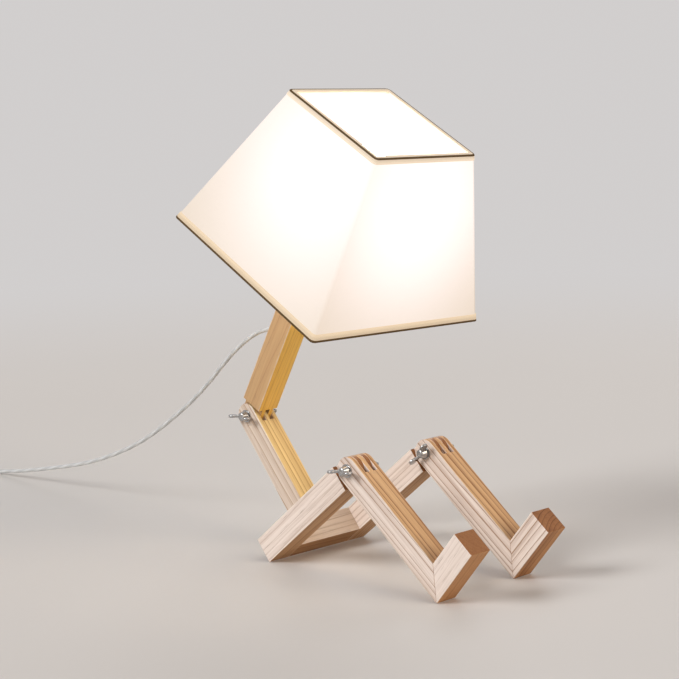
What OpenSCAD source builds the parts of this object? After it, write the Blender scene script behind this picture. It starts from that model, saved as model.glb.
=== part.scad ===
// Desk lamp in the form of a sitting wooden robot.
// The robot faces +X, its left side is +Y and the table is Z = 0. The origin is the centre of
// the lamp's footprint. Side-view points are written [x, z], from the seat's rear bottom edge.

/* [Timber] */
// Side of the square timber
bar_w = 24; // [20:1:28]
// Gap between a knuckle's finger ends and the shoulder that faces them
shoulder_gap = 1.5; // [0.5:0.25:4]
// Side play of a finger in its slot
finger_play = 0.1; // [0.05:0.05:0.3]

/* [Seat] */
// Thigh length from the rear end to the knee pivot
thigh_len = 143; // [120:1:165]
// Width of the seat over both thighs
seat_w = 124; // [100:1:150]
// Slope of the thighs above the table, in degrees
thigh_angle = 39; // [30:1:46]
// Height of the elbow pivot above the seat's underside, square to the thighs
torso_low_len = 144; // [125:1:170]
// Thickness of the tenon below the lower body, along the thighs
tenon_t = 12; // [8:1:14]
// Width of the tenon
tenon_w = 16; // [10:1:18]
// Depth of the tenon in the crossbar
tenon_len = 18; // [10:1:19]
// Play of the tenon in its mortise, on each side
tenon_play = 0.05; // [0.02:0.01:0.2]
// Diameter of the dowels in the seat's corners
dowel_d = 6; // [4:1:7]
// Length of the dowels
dowel_len = 30; // [20:1:36]
// Distance between the two dowels of a corner
dowel_pitch = 11; // [8:0.5:12]
// Radial play of a dowel in its hole
dowel_play = 0.05; // [0.02:0.01:0.2]

/* [Legs] */
// Shin length from the knee pivot to the sole
shin_len = 142; // [125:1:165]
// Length of the foot from the heel to the toe
foot_len = 62; // [45:1:80]

/* [Upper body] */
// Upper body length from the elbow pivot to the top of the neck
upper_len = 205; // [185:1:230]
// Slope of the upper body above the table, in degrees
upper_angle = 61; // [55:1:68]
// Length of the neck block from the back of the body to its tip
neck_len = 62; // [54:1:75]
// Bore for the lead inside the timber
wire_bore = 7; // [6:0.5:9]
// Distance of the cord's exit from the elbow pivot, along the body
exit_pos = 94; // [70:1:120]
// Slope of the exit hole from the square of the back face, in degrees
exit_angle = 45; // [30:1:50]

/* [Hinge screws] */
// Diameter of the wing screws
screw_d = 5; // [4:0.5:6]
// Radial play of a wing screw in the timber
screw_play = 0.08; // [0.03:0.01:0.1]
// Length of thread that stands out past the insert
screw_tip = 14; // [6:1:20]
// Diameter of the wing screw's hub
hub_d = 9.5; // [8:0.5:12]
// Height of the hub
hub_h = 7; // [5:0.5:10]
// Distance over both wings
wing_span = 28; // [24:1:34]
// Thickness of a wing
wing_t = 2.4; // [1.5:0.1:3.5]
// Height of the wings above the washer
wing_h = 12; // [9:0.5:16]
// Diameter of the washer under the wing screw
washer_d = 12; // [10:0.5:16]
// Thickness of that washer
washer_t = 1; // [0.6:0.1:2]
// Outside diameter of the threaded insert
insert_d = 8; // [7.5:0.5:10]
// Turn of the wings on the elbow, right knee and left knee screws, in degrees
wing_turns = [0, 4, 48];

/* [Lampholder] */
// Outside diameter of the threaded tube
tube_d = 10; // [9:0.5:12]
// Wall of the threaded tube
tube_wall = 1.4; // [1:0.1:1.8]
// Depth of the threaded tube in the neck block
tube_depth = 8; // [5:0.5:8]
// Diameter of the washer under the lampholder
base_washer_d = 26; // [24:1:34]
// Thickness of that washer
base_washer_t = 1.2; // [0.8:0.1:2.5]
// Outside diameter of the lampholder
holder_d = 38; // [36:1:42]
// Height of the holder's cap
cap_h = 17; // [15:0.5:22]
// Height of the holder's sleeve
sleeve_h = 26; // [24:0.5:34]
// Wall of the cap and the sleeve
holder_wall = 3; // [2:0.1:3.5]
// Thickness of the flange that the shade sits on
flange_t = 2; // [1.5:0.1:3]
// How far that flange stands out
flange_out = 3; // [2:0.5:5]
// Thickness of the insulating insert
base_t = 4; // [3:0.5:6]
// Radial play of the fixed pieces in the head
seat_play = 0.15; // [0.05:0.05:0.3]

/* [Bulb] */
// Diameter of the bulb's screw cap
bulb_cap_d = 26.4; // [24:0.2:26.8]
// Length of the screw cap
bulb_cap_h = 23; // [20:0.5:27]
// Diameter of the globe
globe_d = 45; // [40:1:50]
// Height of the plastic housing above the screw cap
housing_h = 23; // [18:1:30]

/* [Shade] */
// Outside width of the shade at the bottom
shade_bottom = 206; // [180:1:240]
// Outside width of the shade at the top
shade_top = 122; // [100:1:150]
// Height of the shade along its axis
shade_h = 152; // [140:1:180]
// Turn of the shade about its axis, in degrees
shade_turn = -1.5; // [-45:0.5:45]
// Thickness of the shade's laminated cloth
shade_t = 0.8; // [0.6:0.1:1.5]
// Drop of the bottom edge below the underside of the neck block
shade_drop = 4; // [0:1:20]
// Diameter of the shade's wire
wire_d = 3.6; // [2.5:0.1:4.5]
// Diameter of the spider's arms
arm_d = 3; // [2:0.1:3.6]
// Thickness of the spider's ring
ring_t = 1.2; // [0.8:0.1:2]
// Width of the spider's ring
ring_w = 6; // [5:0.5:9]
// Height of the ring nut
nut_h = 7; // [5:0.5:9]
// Thickness of the hem tape
hem_t = 0.5; // [0.3:0.1:1]
// Height of the bottom hem
hem_low_h = 5; // [4:0.5:12]
// Height of the top hem
hem_top_h = 5; // [4:0.5:10]

/* [Cord] */
// Diameter of the cord
cord_d = 4.2; // [4.1:0.1:4.8]
// Outside diameter of the cord sleeve in the timber
sleeve_d = 7; // [6.4:0.2:8]
// Length of the sleeve inside the exit hole
sleeve_in = 10; // [6:1:11]
// Length of the sleeve outside the timber
sleeve_out = 10; // [8:1:14]
// Outside diameter of the sleeve's tip
sleeve_tip_d = 5.6; // [5.2:0.1:6.2]
// Number of turns beside each other in the coil
coil_turns = 4; // [3:1:5]
// Diameter of the coil at the middle of its turns
coil_mid_d = 48; // [44:1:60]
// Width of the tie round the coil
tie_w = 8; // [5:1:14]
// Thickness of the tie
tie_t = 0.8; // [0.5:0.1:1.2]

/* [Switch] */
// Length of the switch housing
switch_len = 58; // [50:1:70]
// Width of the switch housing
switch_w = 24; // [22:1:30]
// Height of the switch housing
switch_h = 15; // [14:0.5:18]
// Wall of the switch housing
switch_wall = 1.8; // [1.4:0.1:2.2]
// Length of the rocker
rocker_len = 14; // [12:0.5:18]
// Width of the rocker
rocker_w = 8.5; // [7:0.5:9.5]
// Play round the rocker
rocker_play = 0.4; // [0.3:0.05:0.6]
// Tilt of the rocker each way, in degrees
rocker_tilt = 7; // [4:1:8]

/* [Plug] */
// Length of the plug's grip
plug_len = 28; // [24:1:36]
// Width of the plug's grip
plug_w = 24; // [22:1:30]
// Thickness of the plug's grip
plug_t = 15; // [12:1:18]
// Length of the plug's strain relief
relief_len = 24; // [20:1:34]
// Spacing of the blades
blade_pitch = 12.7; // [12:0.1:13.4]
// Length of the blades outside the plug
blade_len = 17; // [14:0.5:19]
// Width of a blade
blade_w = 6.3; // [5.5:0.1:7]
// Thickness of a blade
blade_t = 1.5; // [1.2:0.1:2]

/* [Hidden] */
$fn = 64;

timber = "#d9b98a";
steel = "#c9ccd0";
brass = "#c9a24d";
white = "#f2f0ec";
linen = "#f7f1e6";
tape = "#c8b9a2";
clear = "#b9b6b0";

half_w = bar_w / 2;
layer_w = bar_w / 5;             // five layers of fingers across a knuckle
shoulder = half_w + shoulder_gap;
right = -1;
left = 1;
leg_y = (seat_w - bar_w) / 2;
cross_len = seat_w - 2 * bar_w;

// Pivots and angles in side view
function dir(a) = [cos(a), sin(a)];
knee = thigh_len * dir(thigh_angle) + half_w * dir(thigh_angle + 90);
elbow = half_w * dir(thigh_angle) + torso_low_len * dir(thigh_angle + 90);
shin_angle = asin(knee.y / norm([shin_len, half_w])) - atan(half_w / shin_len);
heel = knee + shin_len * dir(-shin_angle) - half_w * dir(90 - shin_angle);
toe = heel + foot_len * dir(90 - shin_angle);

// Head axis: the lampholder stands on the middle of the neck block
head_z = half_w - neck_len / 2;
head_foot = elbow + upper_len * dir(upper_angle) + head_z * dir(upper_angle + 90);
shade_low = -bar_w - shade_drop;   // height of the shade's bottom edge on the head axis
shade_high = shade_low + shade_h;
shade_slope = (shade_bottom - shade_top) / 2 / shade_h;
hem_centre = head_foot + shade_low * dir(upper_angle);
top_centre = head_foot + shade_high * dir(upper_angle);
back_x = min(elbow.x - wing_span / 2, hem_centre.x - (shade_bottom / 2 + hem_t) * sin(upper_angle));
front_x = max(toe.x, top_centre.x + (shade_top / 2 + hem_t) * sin(upper_angle));
origin_x = (back_x + front_x) / 2;

// Lampholder and bulb, as heights on the head axis above the neck block
cap_z = base_washer_t;
sleeve_z = cap_z + cap_h;
flange_z = sleeve_z + flange_t;
rim_z = sleeve_z + sleeve_h;
holder_r = holder_d / 2;
holder_in_r = holder_r - holder_wall;
shell_wall = 0.8;
shell_r = bulb_cap_d / 2 + 0.4;
shell_z = sleeve_z + base_t;
contact_h = 1.5;
bulb_z = shell_z + contact_h;
housing_z = bulb_z + bulb_cap_h;
globe_z = housing_z + housing_h;
globe_r = globe_d / 2;
globe_dip = 6;                     // the globe's centre above the housing's edge
housing_top_r = sqrt(globe_r * globe_r - globe_dip * globe_dip);
wire_r = wire_d / 2;

// Cord: the lead's end outside the sleeve, then points chosen by hand, in the part's own frame
cord_r = cord_d / 2;
floor_z = cord_r + 0.1;
exit_at = elbow + exit_pos * dir(upper_angle) + half_w * dir(upper_angle + 90);
exit_dir = dir(upper_angle + 90 + exit_angle);
lead_start = exit_at + sleeve_out * exit_dir;
switch_pos = [-634, -98];
switch_mid = 7;                    // height of the cord through the switch
collar_len = 6;
switch_y0 = switch_pos.y + switch_len / 2 + collar_len;
switch_y1 = switch_pos.y - switch_len / 2 - collar_len;
lead_points = [
    [-139, 0, 202.6], [-148, 0, 199.8], [-160, 0, 194.2], [-173, 0, 186.2], [-187, 0, 176],
    [-200, 0, 165], [-213, 0, 153.4], [-226, 0, 142], [-240, 0, 130.6], [-256, 0, 118.6],
    [-273, 0, 107], [-291, 0, 95.4], [-309, 0, 84.4], [-328, 0, 74], [-348, 0, 64.4],
    [-368, 0, 56], [-389, 0, 48.2], [-411, 0, 41], [-434, 0, 34.4], [-458, 0, 28.6],
    [-483, 0, 23.2], [-508, 0, 18.2], [-532, 0, 13.6], [-555, 0, 9.4], [-575, 0, 6.2],
    [-592, -1, 3.8], [-607, -5, 2.5], [-620, -14, floor_z], [-629, -27, 2.7], [-633, -42, 4.3],
    [-634, -54, 6.2], [-634, -61, switch_mid], [-634, switch_y0 - 3, switch_mid]];
coil_mid_r = coil_mid_d / 2;
coil_at = [switch_pos.x + coil_mid_r + (coil_turns - 1) * cord_r, -222];
coil_half = coil_turns * cord_r + 0.2;
coil_z = tie_t + 0.2;
coil_h = 2 * cord_d + 0.3;
tie_play = 0.65;                   // room for the coil's curve inside the straight tie
tail_points = [
    [-634, switch_y1 + 3, switch_mid], [-634, switch_y1 - 2, switch_mid],
    [-634, -142, 6.4], [-634, -154, 5.4], [-634, -168, 4],
    [-634, -182, 3.4], [-634, -196, 3.2], [-634, -208, 3.2]];
plug_at = [coil_at.x + coil_mid_r + (coil_turns - 1) * cord_r, -140];
end_points = [
    [plug_at.x, -212, 7.5], [plug_at.x, -200, 7.5], [plug_at.x, -186, 7.5],
    [plug_at.x, plug_at.y - relief_len - 6, plug_t / 2],
    [plug_at.x, plug_at.y - relief_len, plug_t / 2]];

function spline(a, b, c, d, t) =
    0.5 * (2 * b + (c - a) * t + (2 * a - 5 * b + 4 * c - d) * t * t
    + (3 * b - a - 3 * c + d) * t * t * t);
function smooth(p) = concat([for (i = [0 : len(p) - 2], t = [0, 0.5])
    spline(p[max(i - 1, 0)], p[i], p[i + 1], p[min(i + 2, len(p) - 1)], t)], [p[len(p) - 1]]);
function unit(v) = v / norm(v);
function ring(p, i, r, n) =
    let (along = unit(p[min(i + 1, len(p) - 1)] - p[max(i - 1, 0)]),
        side = unit(cross([0, 0, 1], along)), up = cross(along, side))
    [for (k = [0 : n - 1]) p[i] + r * (cos(360 * k / n) * side + sin(360 * k / n) * up)];

module tube(points, r, n = 10) {
    p = smooth(points);
    last = len(p) - 1;
    polyhedron(
        points = [for (i = [0 : last]) each ring(p, i, r, n)],
        faces = concat(
            [[for (k = [0 : n - 1]) k]],
            [for (i = [0 : last - 1], k = [0 : n - 1])
                [i * n + k, (i + 1) * n + k, (i + 1) * n + (k + 1) % n, i * n + (k + 1) % n]],
            [[for (k = [n - 1 : -1 : 0]) last * n + k]]));
}

// Places of work: a bar from a side-view point along an angle, the seat, the head, the exit
module at(p, a, y = 0) {
    translate([p.x - origin_x, y, p.y]) rotate([0, -a, 0]) children();
}
module seat() { at([0, 0], thigh_angle) children(); }
module shin_place(side) { at(knee, -shin_angle, side * leg_y) children(); }
module upper_place() { at(elbow, upper_angle) children(); }
module head() { upper_place() translate([upper_len, 0, head_z]) rotate([0, 90, 0]) children(); }
module shade_place() { head() rotate([0, 0, shade_turn]) children(); }
module exit_place() {
    upper_place() translate([exit_pos, 0, half_w]) rotate([0, -exit_angle, 0]) children();
}

// A side-view outline made a slab of timber, centred across the bar
module slab(w) { rotate([90, 0, 0]) linear_extrude(w, center = true) children(); }

module fingers(outer) {
    for (i = outer ? [-2, 0, 2] : [-1, 1])
        translate([0, i * layer_w, 0])
            slab(outer ? layer_w : layer_w - 2 * finger_play) {
                circle(d = bar_w, $fn = 96);
                translate([0, -half_w]) square([shoulder + 1, bar_w]);
            }
}

module pivot_bore() {
    rotate([90, 0, 0]) cylinder(h = bar_w + 2, r = screw_d / 2 + screw_play, center = true);
}

module insert_pocket() {
    translate([0, half_w + 1, 0]) rotate([90, 0, 0]) cylinder(h = layer_w + 1, d = insert_d);
}

// Square timber from the knuckle's shoulder, with its fingers; outer is the three-finger kind
module knuckle_bar(len, outer) {
    difference() {
        union() {
            translate([shoulder, -half_w, -half_w]) cube([len - shoulder, bar_w, bar_w]);
            fingers(outer);
        }
        pivot_bore();
        if (outer) insert_pocket();
    }
}

module dowel(y, z, play) {
    translate([half_w, y, half_w + z]) rotate([90, 0, 0])
        cylinder(h = dowel_len + 10 * play, r = dowel_d / 2 + play, center = true);
}

module dowels(play) {
    for (side = [right, left], z = [-0.5, 0.5])
        dowel(side * cross_len / 2, z * dowel_pitch, play);
}

module thigh(side) {
    color(timber) difference() {
        at(knee, thigh_angle + 180, side * leg_y) knuckle_bar(thigh_len, false);
        seat() dowels(dowel_play);
    }
}

module seat_crossbar() {
    color(timber) seat() difference() {
        translate([0, -cross_len / 2, 0]) cube([bar_w, cross_len, bar_w]);
        dowels(dowel_play);
        translate([half_w, 0, bar_w - tenon_len / 2 + 1])
            cube([tenon_t + 2 * tenon_play, tenon_w + 2 * tenon_play, tenon_len + 2.5],
                center = true);
    }
}

module seat_dowels() { color(timber) seat() dowels(0); }

module torso_lower() {
    color(timber) at(elbow, thigh_angle - 90) {
        knuckle_bar(torso_low_len - bar_w, true);
        translate([torso_low_len - bar_w + tenon_len / 2, 0, 0])
            cube([tenon_len, tenon_w, tenon_t], center = true);
    }
}

module shin(side) {
    color(timber) shin_place(side) difference() {
        knuckle_bar(shin_len, true);
        heel_mitre_cut();
    }
}

// Everything past the mitre, which runs from the sole at the heel to the instep
module heel_mitre_cut() {
    slab(bar_w + 2) polygon([[shin_len, -half_w], [shin_len + 2, -half_w - 2],
        [shin_len + bar_w, half_w + 2], [shin_len - bar_w - 2, half_w + 2]]);
}

module foot(side) {
    color(timber) shin_place(side) slab(bar_w)
        polygon([[shin_len, -half_w], [shin_len, foot_len - half_w],
            [shin_len - bar_w, foot_len - half_w], [shin_len - bar_w, half_w]]);
}

module screw_insert() {
    color(brass) translate([0, half_w, 0]) rotate([90, 0, 0]) difference() {
        cylinder(h = layer_w - 0.3, r = insert_d / 2 - 0.02);
        translate([0, 0, -1]) cylinder(h = layer_w + 2, r = screw_d / 2 + screw_play);
    }
}

module screw_washer() {
    color(steel) translate([0, -half_w, 0]) rotate([90, 0, 0]) difference() {
        cylinder(h = washer_t, d = washer_d);
        translate([0, 0, -1]) cylinder(h = washer_t + 2, r = screw_d / 2 + screw_play);
    }
}

module wing() {
    tip_r = wing_h / 3;
    rotate([90, 0, 0]) linear_extrude(wing_t, center = true) {
        translate([wing_span / 2 - tip_r, wing_h - tip_r]) circle(r = tip_r);
        polygon([[0, 1], [hub_d / 2, 1], [wing_span / 2 - 0.8, wing_h - 1.7 * tip_r],
            [wing_span / 2 - tip_r, wing_h], [hub_d / 2 - 0.5, hub_h - 0.5], [0, hub_h - 0.5]]);
    }
}

module wing_screw(turn) {
    color(steel) translate([0, -half_w - washer_t, 0]) rotate([90, 0, 0]) rotate([0, 0, turn]) {
        cylinder(h = hub_h, d1 = hub_d, d2 = hub_d - 1.5);
        translate([0, 0, -washer_t - bar_w - screw_tip])
            cylinder(h = washer_t + bar_w + screw_tip + 1, d = screw_d);
        wing();
        rotate([0, 0, 180]) wing();
    }
}

module torso_upper() {
    color(timber) difference() {
        upper_place() difference() {
            knuckle_bar(upper_len, false);
            slab(bar_w + 2) polygon([[upper_len, half_w], [upper_len + 2, half_w + 2],
                [upper_len + bar_w, -half_w - 2], [upper_len - bar_w - 2, -half_w - 2]]);
            translate([exit_pos + half_w * tan(exit_angle), 0, 0]) rotate([0, 90, 0])
                cylinder(h = upper_len, d = wire_bore);
        }
        exit_place() translate([0, 0, -half_w / cos(exit_angle) - wire_bore / 2])
            cylinder(h = bar_w / cos(exit_angle), d = sleeve_d + 2 * seat_play);
    }
}

module neck_block() {
    color(timber) upper_place() difference() {
        slab(bar_w) polygon([[upper_len, half_w], [upper_len, half_w - neck_len],
            [upper_len - bar_w, half_w - neck_len], [upper_len - bar_w, -half_w]]);
        translate([upper_len - half_w, 0, head_z - wire_bore / 2])
            cylinder(h = half_w - head_z + wire_bore / 2, d = wire_bore);
        translate([upper_len - half_w, 0, head_z]) rotate([0, 90, 0])
            cylinder(h = bar_w, d = wire_bore);
        translate([upper_len - tube_depth, 0, head_z]) rotate([0, 90, 0])
            cylinder(h = tube_depth + 1, d = tube_d + 2 * dowel_play);
    }
}

// The lead inside the timber: exit hole, body bore, neck bore, threaded tube
module inner_lead() {
    turn_x = exit_pos + half_w * tan(exit_angle);
    bend_d = cord_d + 0.4;   // the lead swells a little where it is bent
    color(clear) {
        exit_place() translate([0, 0, -half_w / cos(exit_angle)])
            cylinder(h = half_w / cos(exit_angle) + sleeve_out - 0.3, d = cord_d);
        upper_place() {
            translate([turn_x, 0, 0]) sphere(d = bend_d);
            translate([turn_x, 0, 0]) rotate([0, 90, 0])
                cylinder(h = upper_len - half_w - turn_x, d = cord_d);
            translate([upper_len - half_w, 0, 0]) sphere(d = bend_d);
            translate([upper_len - half_w, 0, head_z]) cylinder(h = -head_z, d = cord_d);
            translate([upper_len - half_w, 0, head_z]) sphere(d = bend_d);
            translate([upper_len - half_w, 0, head_z]) rotate([0, 90, 0])
                cylinder(h = half_w + sleeve_z - 0.5, d = cord_d);
        }
    }
}

module cord_sleeve() {
    color(clear) exit_place() rotate_extrude()
        polygon([[cord_r + 0.1, -sleeve_in], [sleeve_d / 2, -sleeve_in],
            [sleeve_d / 2, 1.5], [sleeve_tip_d / 2, sleeve_out], [cord_r + 0.1, sleeve_out]]);
}

module holder_tube() {
    color(brass) head() translate([0, 0, -tube_depth]) difference() {
        cylinder(h = tube_depth + cap_z + 7, d = tube_d);
        translate([0, 0, -1]) cylinder(h = tube_depth + cap_z + 9, d = tube_d - 2 * tube_wall);
    }
}

module holder_washer() {
    color(steel) head() difference() {
        cylinder(h = base_washer_t, d = base_washer_d);
        translate([0, 0, -1])
            cylinder(h = base_washer_t + 2, d = tube_d + 2 * seat_play);
    }
}

module holder_cap() {
    in_r = tube_d / 2 + dowel_play;
    color(white) head() rotate_extrude()
        polygon([[in_r, cap_z], [11, cap_z], [11, cap_z + 4], [holder_r, cap_z + 12],
            [holder_r, sleeve_z], [holder_in_r, sleeve_z], [holder_in_r, cap_z + 12.5],
            [9, cap_z + 7], [in_r, cap_z + 7]]);
}

module holder_sleeve() {
    color(white) head() rotate_extrude()
        polygon([[holder_in_r, sleeve_z], [holder_r + flange_out, sleeve_z],
            [holder_r + flange_out, flange_z], [holder_r, flange_z], [holder_r, rim_z],
            [holder_in_r, rim_z]]);
}

module holder_insert() {
    color(white) head() translate([0, 0, sleeve_z]) difference() {
        cylinder(h = base_t, r = holder_in_r - seat_play);
        translate([0, 0, -1]) cylinder(h = base_t + 2, r = 1.6);
    }
}

module screw_shell() {
    color(brass) head() translate([0, 0, shell_z]) difference() {
        cylinder(h = rim_z - shell_z - 2, r = shell_r + shell_wall);
        translate([0, 0, -1]) cylinder(h = rim_z, r = shell_r);
    }
}

module centre_contact() {
    color(brass) head() {
        translate([0, 0, sleeve_z]) cylinder(h = base_t, r = 1.5);
        translate([0, 0, shell_z]) cylinder(h = contact_h, r = 4);
    }
}

module bulb_cap() {
    cap_r = bulb_cap_d / 2;
    color(steel) head() rotate_extrude()
        polygon([[0, bulb_z], [4.5, bulb_z], [5, bulb_z + 1], [cap_r - 1.5, bulb_z + 3.5],
            [cap_r, bulb_z + 4.5], [cap_r, housing_z], [0, housing_z]]);
}

module bulb_housing() {
    color(white) head() rotate_extrude()
        polygon([[0, housing_z], [bulb_cap_d / 2 + 1.3, housing_z],
            [bulb_cap_d / 2 + 2.3, housing_z + 3.5], [housing_top_r, globe_z - 2],
            [housing_top_r, globe_z], [0, globe_z]]);
}

module bulb_globe() {
    color(white) head() rotate_extrude() intersection() {
        translate([0, globe_z + globe_dip]) circle(r = globe_r);
        translate([0, globe_z]) square([globe_d, globe_d]);
    }
}

module shade_ring_nut() {
    in_r = holder_r + seat_play;
    z = flange_z + ring_t;
    color(white) head() rotate_extrude()
        polygon([[in_r, z], [holder_r + 4.5, z], [holder_r + 4.5, z + 2.5],
            [holder_r + 2.5, z + nut_h], [in_r, z + nut_h]]);
}

// Half the width across the wire's middle, so that it lies inside the cloth at height z
function wire_half(z) = (shade_bottom / 2 - shade_slope * (z - shade_low))
    - (shade_t + wire_r + 0.15) * norm([1, shade_slope]);

module wire_square(z) {
    half = wire_half(z);
    for (a = [0 : 90 : 270]) rotate([0, 0, a]) {
        translate([half, 0, z]) rotate([90, 0, 0])
            cylinder(h = 2 * half, r = wire_r, center = true);
        translate([half, half, z]) sphere(r = wire_r + 0.05);
    }
}

module shade_spider() {
    low_z = shade_low + hem_t + wire_r;
    start = [holder_r + ring_w - 0.7, flange_z + ring_t / 2];
    span = [wire_half(low_z), low_z] - start;
    color(white) shade_place() {
        translate([0, 0, flange_z]) difference() {
            cylinder(h = ring_t, r = holder_r + ring_w);
            translate([0, 0, -1]) cylinder(h = ring_t + 2, r = holder_r + seat_play);
        }
        for (a = [0 : 90 : 270]) rotate([0, 0, a])
            translate([start.x, 0, start.y]) rotate([0, 90 + atan(-span.y / span.x), 0])
                cylinder(h = norm(span), d = arm_d);
        wire_square(low_z);
    }
}

module shade_top_wire() { color(white) shade_place() wire_square(shade_high - hem_t - wire_r); }

// A square pyramid's slice: half widths a and b at heights z0 and z1
module frustum(a, b, z0, z1) {
    corners = [[1, 1], [-1, 1], [-1, -1], [1, -1]];
    polyhedron(
        points = [for (c = corners) [a * c.x, a * c.y, z0], for (c = corners)
            [b * c.x, b * c.y, z1]],
        faces = [[0, 1, 2, 3], [7, 6, 5, 4], [0, 4, 5, 1], [1, 5, 6, 2], [2, 6, 7, 3],
            [3, 7, 4, 0]]);
}

// Half width of the shade at height z, for a face that lies out from the cloth's outer face
function shade_half(z, out) =
    shade_bottom / 2 - shade_slope * (z - shade_low) + out * norm([1, shade_slope]);
module shade_slice(z0, z1, out) { frustum(shade_half(z0, out), shade_half(z1, out), z0, z1); }

module shade_cloth() {
    low = shade_low + hem_t;
    high = shade_high - hem_t;
    color(linen) shade_place() difference() {
        shade_slice(low, high, 0);
        shade_slice(low - 1, high + 1, -shade_t);
    }
}

// The tape lies on the cloth's outer face and turns in under the edge, past the wire
module shade_hem_bottom() {
    color(tape) shade_place() difference() {
        shade_slice(shade_low, shade_low + hem_low_h, hem_t);
        shade_slice(shade_low + hem_t, shade_low + hem_low_h + 1, 0);
        shade_slice(shade_low - 1, shade_low + hem_low_h + 1, -shade_t - wire_d - 0.3);
    }
}

module shade_hem_top() {
    color(tape) shade_place() difference() {
        shade_slice(shade_high - hem_top_h, shade_high, hem_t);
        shade_slice(shade_high - hem_top_h - 1, shade_high - hem_t, 0);
        shade_slice(shade_high - hem_top_h - 1, shade_high + 1, -shade_t - wire_d - 0.3);
    }
}

module cord_lead() {
    start = [lead_start.x - origin_x, 0, lead_start.y];
    color(clear) tube(concat([start], lead_points), cord_r);
}

module switch_place() { translate([switch_pos.x, switch_pos.y, 0]) rotate([0, 0, 90]) children(); }

// Outline of the housing, grown by an amount
module switch_outline(grow) {
    r = switch_w / 2 + grow;
    for (side = [-1, 1]) translate([side * (switch_len - switch_w) / 2, 0]) circle(r = r);
    square([switch_len - switch_w, 2 * r], center = true);
}

module switch_shell(z0, z1) {
    difference() {
        union() {
            translate([0, 0, z0]) linear_extrude(z1 - z0) switch_outline(0);
            intersection() {
                translate([0, 0, switch_mid]) rotate([0, 90, 0])
                    cylinder(h = switch_len + 2 * collar_len, d = 9, center = true);
                translate([-switch_len, -switch_w, z0]) cube([2 * switch_len, 2 * switch_w, z1 - z0]);
            }
        }
        translate([0, 0, switch_wall]) linear_extrude(switch_h - 2 * switch_wall)
            switch_outline(-switch_wall);
        translate([0, 0, switch_mid]) rotate([0, 90, 0])
            cylinder(h = switch_len + 2 * collar_len + 2, r = cord_r + 0.2, center = true);
    }
}

screw_spots = [[-17, -6.5], [17, 6.5]];
pin_z = switch_h - 3.2;
pin_d = 2.4;

module switch_base() {
    color(white) switch_place() difference() {
        union() {
            switch_shell(0, switch_mid);
            for (s = screw_spots) translate([s.x, s.y, 0]) cylinder(h = switch_mid, d = 7);
        }
        for (s = screw_spots) translate([s.x, s.y, -1]) {
            cylinder(h = switch_mid + 2, d = 3.3);
            cylinder(h = 4, d = 5.6);
        }
    }
}

module switch_cover() {
    lug_y = rocker_w / 2 + rocker_play;
    color(white) switch_place() difference() {
        union() {
            switch_shell(switch_mid, switch_h);
            for (s = screw_spots) translate([s.x, s.y, switch_mid])
                cylinder(h = switch_h - switch_mid - 1, d = 6);
            for (side = [-1, 1]) translate([-3, side * (lug_y + 1.25) - 1.25, switch_mid + 1])
                cube([6, 2.5, switch_h - switch_mid - 2]);
        }
        translate([0, 0, switch_h])
            cube([rocker_len + 2 * rocker_play, rocker_w + 2 * rocker_play, 8], center = true);
        translate([0, 0, pin_z]) rotate([90, 0, 0])
            cylinder(h = 2 * lug_y + 4, r = pin_d / 2 + 0.06, center = true);
        for (s = screw_spots) translate([s.x, s.y, switch_mid - 1])
            cylinder(h = switch_h - switch_mid - 1, d = 2.5);
    }
}

module switch_rocker() {
    half = rocker_len / 2;
    color(white) switch_place() translate([0, 0, pin_z]) rotate([0, rocker_tilt, 0]) {
        rotate([90, 0, 0]) cylinder(h = rocker_w + 2 * rocker_play + 3.6, d = pin_d, center = true);
        rotate([90, 0, 0]) linear_extrude(rocker_w, center = true)
            polygon([[-half + 0.8, -1.2], [half - 0.8, -1.2], [half - 0.2, 2 + half * 0.26],
                [0, 3.4], [-half + 0.2, 2 + half * 0.26]]);
    }
}

module switch_contacts() {
    color(brass) switch_place()
        for (side = [-1, 1]) translate([side * 9 - 3, -3, switch_wall]) {
            cube([6, 6, 1]);
            translate([side * 2.5 + 2.5, 0, 0]) cube([1, 6, 4.5]);
        }
}

module switch_screws() {
    color(steel) switch_place()
        for (s = screw_spots) translate([s.x, s.y, 0.4]) {
            cylinder(h = 2.2, d = 5);
            cylinder(h = 11.4, d = 2.4);
        }
}

module cord_tail() { color(clear) tube(tail_points, cord_r); }

module cord_coil() {
    color(clear) translate([coil_at.x, coil_at.y, coil_z]) rotate_extrude()
        translate([coil_mid_r - coil_half, 0]) square([2 * coil_half, coil_h]);
}

module coil_tie() {
    inner = [2 * coil_half + 2 * tie_play, coil_h + 0.4];
    color(white) translate([coil_at.x, coil_at.y, 0]) rotate([0, 0, -90])
        translate([coil_mid_r, 0, 0]) rotate([90, 0, 0]) linear_extrude(tie_w, center = true)
            difference() {
                translate([-inner.x / 2 - tie_t, 0]) square([inner.x + 2 * tie_t, inner.y + 2 * tie_t]);
                translate([-inner.x / 2, tie_t]) square(inner);
            }
}

module cord_end() { color(clear) tube(end_points, cord_r); }

module plug_place() { translate([plug_at.x, plug_at.y, 0]) rotate([0, 0, 90]) children(); }

module blades(play) {
    for (side = [-1, 1])
        translate([plug_len - 10 - play, side * blade_pitch / 2 - blade_t / 2 - play,
            plug_t / 2 - blade_w / 2 - play])
            cube([10 + blade_len + play, blade_t + 2 * play, blade_w + 2 * play]);
}

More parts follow.
